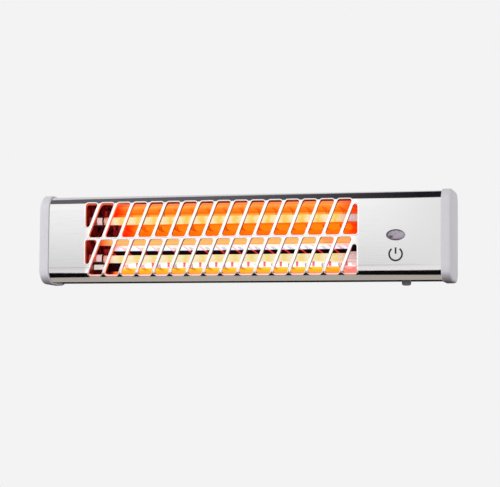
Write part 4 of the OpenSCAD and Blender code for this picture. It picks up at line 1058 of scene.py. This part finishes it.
class FinishCasing(bpy.types.Operator):
    """Painted back shell and moulded end caps"""

    bl_idname = "bar_heater.casing"
    bl_label = "Shell and end caps"

    def execute(self, context):
        dress(["back_shell"], powder_paint())
        plastic = moulded_abs()
        size = sizes()
        fit = 0.00015
        cover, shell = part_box("front_cover"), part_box("back_shell")
        pocket = side_view(cover[0][1] - fit, shell[1][1] + fit, cover[1][2] + fit,
                           size.bend_r + fit, size.shell_r + fit)
        edge_r, lead_in, steps = size.cap_edge_r, 0.0006, 8
        for side in ("left", "right"):
            low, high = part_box(f"{side}_end_cap")
            inner, outer = (low[0], high[0]) if side == "right" else (high[0], low[0])
            out = 1 if side == "right" else -1
            front_r = size.bend_r + cover[0][1] - low[1]

            def skin(drawn_in):
                return side_view(low[1] + drawn_in, high[1] - drawn_in, high[2] - drawn_in,
                                 front_r - drawn_in, size.cap_rear_r - drawn_in)

            rings = [(inner + out * size.cap_lap, pocket), (inner, pocket), (inner, skin(lead_in)),
                     (inner + out * lead_in, skin(0.0))]
            for i in range(steps + 1):
                turn = math.pi / 2 * i / steps
                rings.append((outer - out * edge_r * (1 - math.sin(turn)),
                              skin(edge_r * (1 - math.cos(turn)))))
            form = lofted(bmesh.new(), [[Vector((x, y, z)) for y, z in line] for x, line in rings])
            cap = new_piece(f"{side}_moulded_cap", form, plastic, smooth_angle=40)
            settle(cap, "heater", "cap_plastic", f"{side}_end_cap")
        return {"FINISHED"}


class BuildReflector(bpy.types.Operator):
    """Polished reflector with a smooth trough behind each tube, and the heated bulkheads"""

    bl_idname = "bar_heater.reflector"
    bl_label = "Reflector and bulkheads"

    def execute(self, context):
        size = sizes()
        low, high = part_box("reflector")
        face_y = min(c[1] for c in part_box("front_cover"))
        tubes = [sum(c[2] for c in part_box(f"{row}_quartz_tube")) / 2 for row in ("lower", "upper")]
        half = (tubes[1] - tubes[0]) / 2
        steps = 30

        def sheet_line(back):
            # A trough's sides rise with the fifth power of the distance from its middle.
            edge = high[2] if back else high[2] - size.reflector_t
            line = [(face_y + size.wing_depth, -edge)]
            for row, middle in enumerate(tubes):
                for i in range(-steps, steps + row):
                    q = i / steps
                    lean = 5 * size.trough_rise * q ** 4 / half
                    depth = size.trough_depth - size.trough_rise * abs(q) ** 5
                    line.append((face_y + depth + back * math.hypot(1, lean), middle + q * half))
            return line + [(face_y + size.wing_depth, edge)]

        front, rear = sheet_line(0.0), sheet_line(size.reflector_t)
        form = bmesh.new()
        rows = [[[form.verts.new((x, y, z)) for y, z in line] for x in (low[0], high[0])]
                for line in (front, rear)]
        for i in range(len(front) - 1):
            for a, b in rows:
                form.faces.new((a[i], a[i + 1], b[i + 1], b[i]))
            for end in (0, 1):
                f, r = rows[0][end], rows[1][end]
                form.faces.new((f[i], f[i + 1], r[i + 1], r[i]))
        for i in (0, -1):
            form.faces.new((rows[0][0][i], rows[0][1][i], rows[1][1][i], rows[1][0][i]))
        bmesh.ops.recalc_face_normals(form, faces=form.faces)
        sheet = new_piece("trough_reflector", form, polished_aluminium(), smooth_angle=40)
        settle(sheet, "heater", "reflector_metal", "reflector")
        dress(["left_bulkhead", "right_bulkhead"], heated_zinc())
        return {"FINISHED"}


class BuildTubes(bpy.types.Operator):
    """Wound heating coils inside lit quartz tubes, held by ceramics"""

    bl_idname = "bar_heater.tubes"
    bl_label = "Tubes, coils and ceramics"

    def execute(self, context):
        size = sizes()
        wire = glowing_wire()
        for row in ("upper", "lower"):
            node = f"{row}_heating_coil"
            low, high = (Vector(c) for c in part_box(node))
            coil = wound(f"{row}_wound_coil", wire, Length=high.x - low.x,
                         Turns=float(size.coil_turns), Radius=size.coil_r,
                         Wire_Radius=size.wire_r, Opening=2.0, End_Rise=1.0 / size.coil_turns,
                         Steps=10.0, Sides=5)
            middle = (low + high) / 2
            coil.data.transform(Matrix.Translation((low.x, middle.y, middle.z)))
            settle(coil, "heater", "heating_wire", node)
        dress(["upper_quartz_tube", "lower_quartz_tube"], lit_quartz())
        axis_height = sum(c[2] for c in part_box("upper_quartz_tube")) / 2
        dress([f"{row}_{side}_ceramic" for row in ("upper", "lower") for side in ("left", "right")],
              steatite(axis_height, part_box("upper_left_ceramic")[1][0],
                       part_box("upper_right_ceramic")[0][0]))
        dress(["tube_terminals", "link_strap"], bright_brass())
        return {"FINISHED"}


class FinishWiring(bpy.types.Operator):
    """Sleeved leads, the terminal block, the cut-out and the earth stud"""

    bl_idname = "bar_heater.wiring"
    bl_label = "Wiring"

    def execute(self, context):
        sleeve = glass_sleeve()
        for node in ("upper_lead", "lower_lead", "return_lead", "feed_lead", "lamp_leads"):
            sleeved(node, "white_plastic", sleeve)
        sleeved("earth_lead", "earth_green", earth_sleeve())
        dress(["terminal_block"], white_nylon())
        dress(["thermal_cutout"], black_nylon())
        dress(["earth_stud"], zinc_plate())
        return {"FINISHED"}


class BuildIndicator(bpy.types.Operator):
    """Smoked oval lens over an unlit lamp, with a printed mark below it"""

    bl_idname = "bar_heater.indicator"
    bl_label = "Indicator and printed mark"

    def execute(self, context):
        size = sizes()
        low, high = (Vector(c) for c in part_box("indicator_lens"))
        middle = (low + high) / 2
        half_w, half_h = (high.x - low.x) / 2, (high.z - low.z) / 2
        face_y = min(c[1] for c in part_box("front_cover"))
        count, seat = 32, face_y - 0.00005
        rings = []
        # Stem inside the cover, flange, then a stepped dome with flat facets.
        for share, y in ((0.88, high.y), (0.88, seat), (1.0, seat),
                         (1.0, low.y + 0.0015), (0.97, low.y + 0.0012), (0.86, low.y + 0.0007),
                         (0.72, low.y + 0.00025), (0.5, low.y + 0.00005), (0.2, low.y)):
            rings.append([Vector((middle.x + half_w * share * math.cos(math.tau * i / count), y,
                                  middle.z + half_h * share * math.sin(math.tau * i / count)))
                          for i in range(count)])
        lens = new_piece("faceted_lens", lofted(bmesh.new(), rings),
                         smoked_polycarbonate(low, high), smooth_angle=9)
        settle(lens, "heater", "lens_plastic", "indicator_lens")
        dress(["indicator_lamp"], neon_glass())
        dress(["lamp_holder"], black_nylon())

        # Mark: an open ring with a bar in its gap, a film of ink that stands 0.06 mm proud.
        centre = Vector((size.mark_x, 0.0, -size.mark_drop))
        front, back = face_y - 0.00006, face_y + 0.00002
        form = bmesh.new()

        def inked(path, across):
            rings = []
            for point, out in zip(path, across):
                a, b = point + out * size.mark_line / 2, point - out * size.mark_line / 2
                rings.append([Vector((p.x, y, p.z))
                              for p, y in ((a, front), (b, front), (b, back), (a, back))])
            lofted(form, rings)

        mid_r = size.mark_r - size.mark_line / 2
        gap, steps = 76, 48
        turns = [math.radians(90 + gap / 2 + (360 - gap) * i / steps) for i in range(steps + 1)]
        outs = [Vector((math.cos(a), 0, math.sin(a))) for a in turns]
        inked([centre + mid_r * out for out in outs], outs)
        inked([centre + Vector((0, 0, size.mark_r * k)) for k in (0.02, 0.9)],
              [Vector((1, 0, 0))] * 2)
        mark = new_piece("printed_mark", form, printed_ink())
        settle(mark, "heater", "black_plastic")
        return {"FINISHED"}


class BuildSwitch(bpy.types.Operator):
    """Pull switch: housing, bush, rod and a wound return spring that the rod presses"""

    bl_idname = "bar_heater.switch"
    bl_label = "Pull switch"

    def execute(self, context):
        size = sizes()
        dress(["switch_housing", "switch_lid"], black_nylon())
        dress(["cord_bush"], grey_nylon())
        dress(["pull_rod"], white_nylon())
        low, high = (Vector(c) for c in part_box("return_spring"))
        wire_r = size.spring_wire_r
        spring = wound("wound_return_spring", zinc_plate(), Length=high.z - low.z - 2 * wire_r,
                       Turns=float(size.spring_turns), Radius=size.spring_r, Wire_Radius=wire_r,
                       Opening=0.001, End_Rise=0.07, Steps=24.0, Sides=10)
        upright = Matrix.Rotation(-math.pi / 2, 4, "Y")
        middle = (low + high) / 2
        spring.data.transform(Matrix.Translation((middle.x, middle.y, low.z + wire_r)) @ upright)
        settle(spring, "heater", "zinc", "return_spring")
        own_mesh(spring)
        return {"FINISHED"}


class BuildFixings(bpy.types.Operator):
    """Cross-recessed screws and domed rivets, set on the CAD fixings' own places"""

    bl_idname = "bar_heater.fixings"
    bl_label = "Screws and rivets"

    def execute(self, context):
        zinc = zinc_plate()
        for seed, (name, node, head_r, head_h, shank_r, shank, axis, sense) in enumerate((
                ("crossed_cover_screws", "cover_screws", 0.0027, 0.0015, 0.0014, 0.006, 2, 1),
                ("crossed_cap_screws", "cap_screws", 0.0027, 0.0015, 0.0014, 0.007, 1, 1),
                ("crossed_bulkhead_screws", "bulkhead_screws", 0.0028, 0.0016, 0.0015, 0.005, 1, 1),
                ("crossed_clamp_screws", "clamp_screws", 0.0028, 0.0016, 0.0015, 0.010, 1, -1))):
            fasten(name, node, pan_head_screw(head_r, head_h, shank_r, shank), axis, sense,
                   head_h + 0.00005, seed + 3, zinc)
        grip = 0.00285
        fasten("domed_lug_rivets", "lug_rivets", domed_rivet(0.002, grip), 1, 1,
               grip + RIVET_HEAD, 9, zinc)
        return {"FINISHED"}


class FinishMount(bpy.types.Operator):
    """Plated wall bracket, tilting lugs and pivots, and the cord's gland and clamp"""

    bl_idname = "bar_heater.mount"
    bl_label = "Wall mount"

    def execute(self, context):
        dress(["wall_bracket", "left_tilt_lug", "right_tilt_lug", "pivot_bolts", "pivot_nuts"],
              zinc_plate())
        dress(["pivot_washers"], fibre_washer())
        dress(["cord_gland", "gland_nut"], black_nylon())
        dress(["cord_clamp"], white_nylon())
        return {"FINISHED"}


class HeaterPanel(bpy.types.Panel):
    """Shows the heater's sizes, colours and building steps in the 3D view's sidebar"""

    bl_idname = "VIEW3D_PT_bar_heater"
    bl_label = "Bar Heater"
    bl_space_type = "VIEW_3D"
    bl_region_type = "UI"
    bl_category = "Bar Heater"

    def draw(self, context):
        for group in (sizes(), colours()):
            box = self.layout.box()
            for key in group.__annotations__:
                box.prop(group, key)
        for operator in OPERATORS:
            self.layout.operator(operator.bl_idname)


OPERATORS = (BuildStage, FinishCover, FinishCasing, BuildReflector, BuildTubes, FinishWiring,
             BuildIndicator, BuildSwitch, BuildFixings, FinishMount)
CLASSES = (HeaterSizes, HeaterColours, *OPERATORS, HeaterPanel)


def register():
    for cls in CLASSES:
        bpy.utils.register_class(cls)
    bpy.types.Scene.bar_heater_sizes = PointerProperty(type=HeaterSizes)
    bpy.types.Scene.bar_heater_colours = PointerProperty(type=HeaterColours)


def unregister():
    del bpy.types.Scene.bar_heater_colours
    del bpy.types.Scene.bar_heater_sizes
    for cls in reversed(CLASSES):
        bpy.utils.unregister_class(cls)


def main():
    register()
    for operator in OPERATORS:
        family, name = operator.bl_idname.split(".")
        getattr(getattr(bpy.ops, family), name)()


if __name__ == "__main__":
    main()
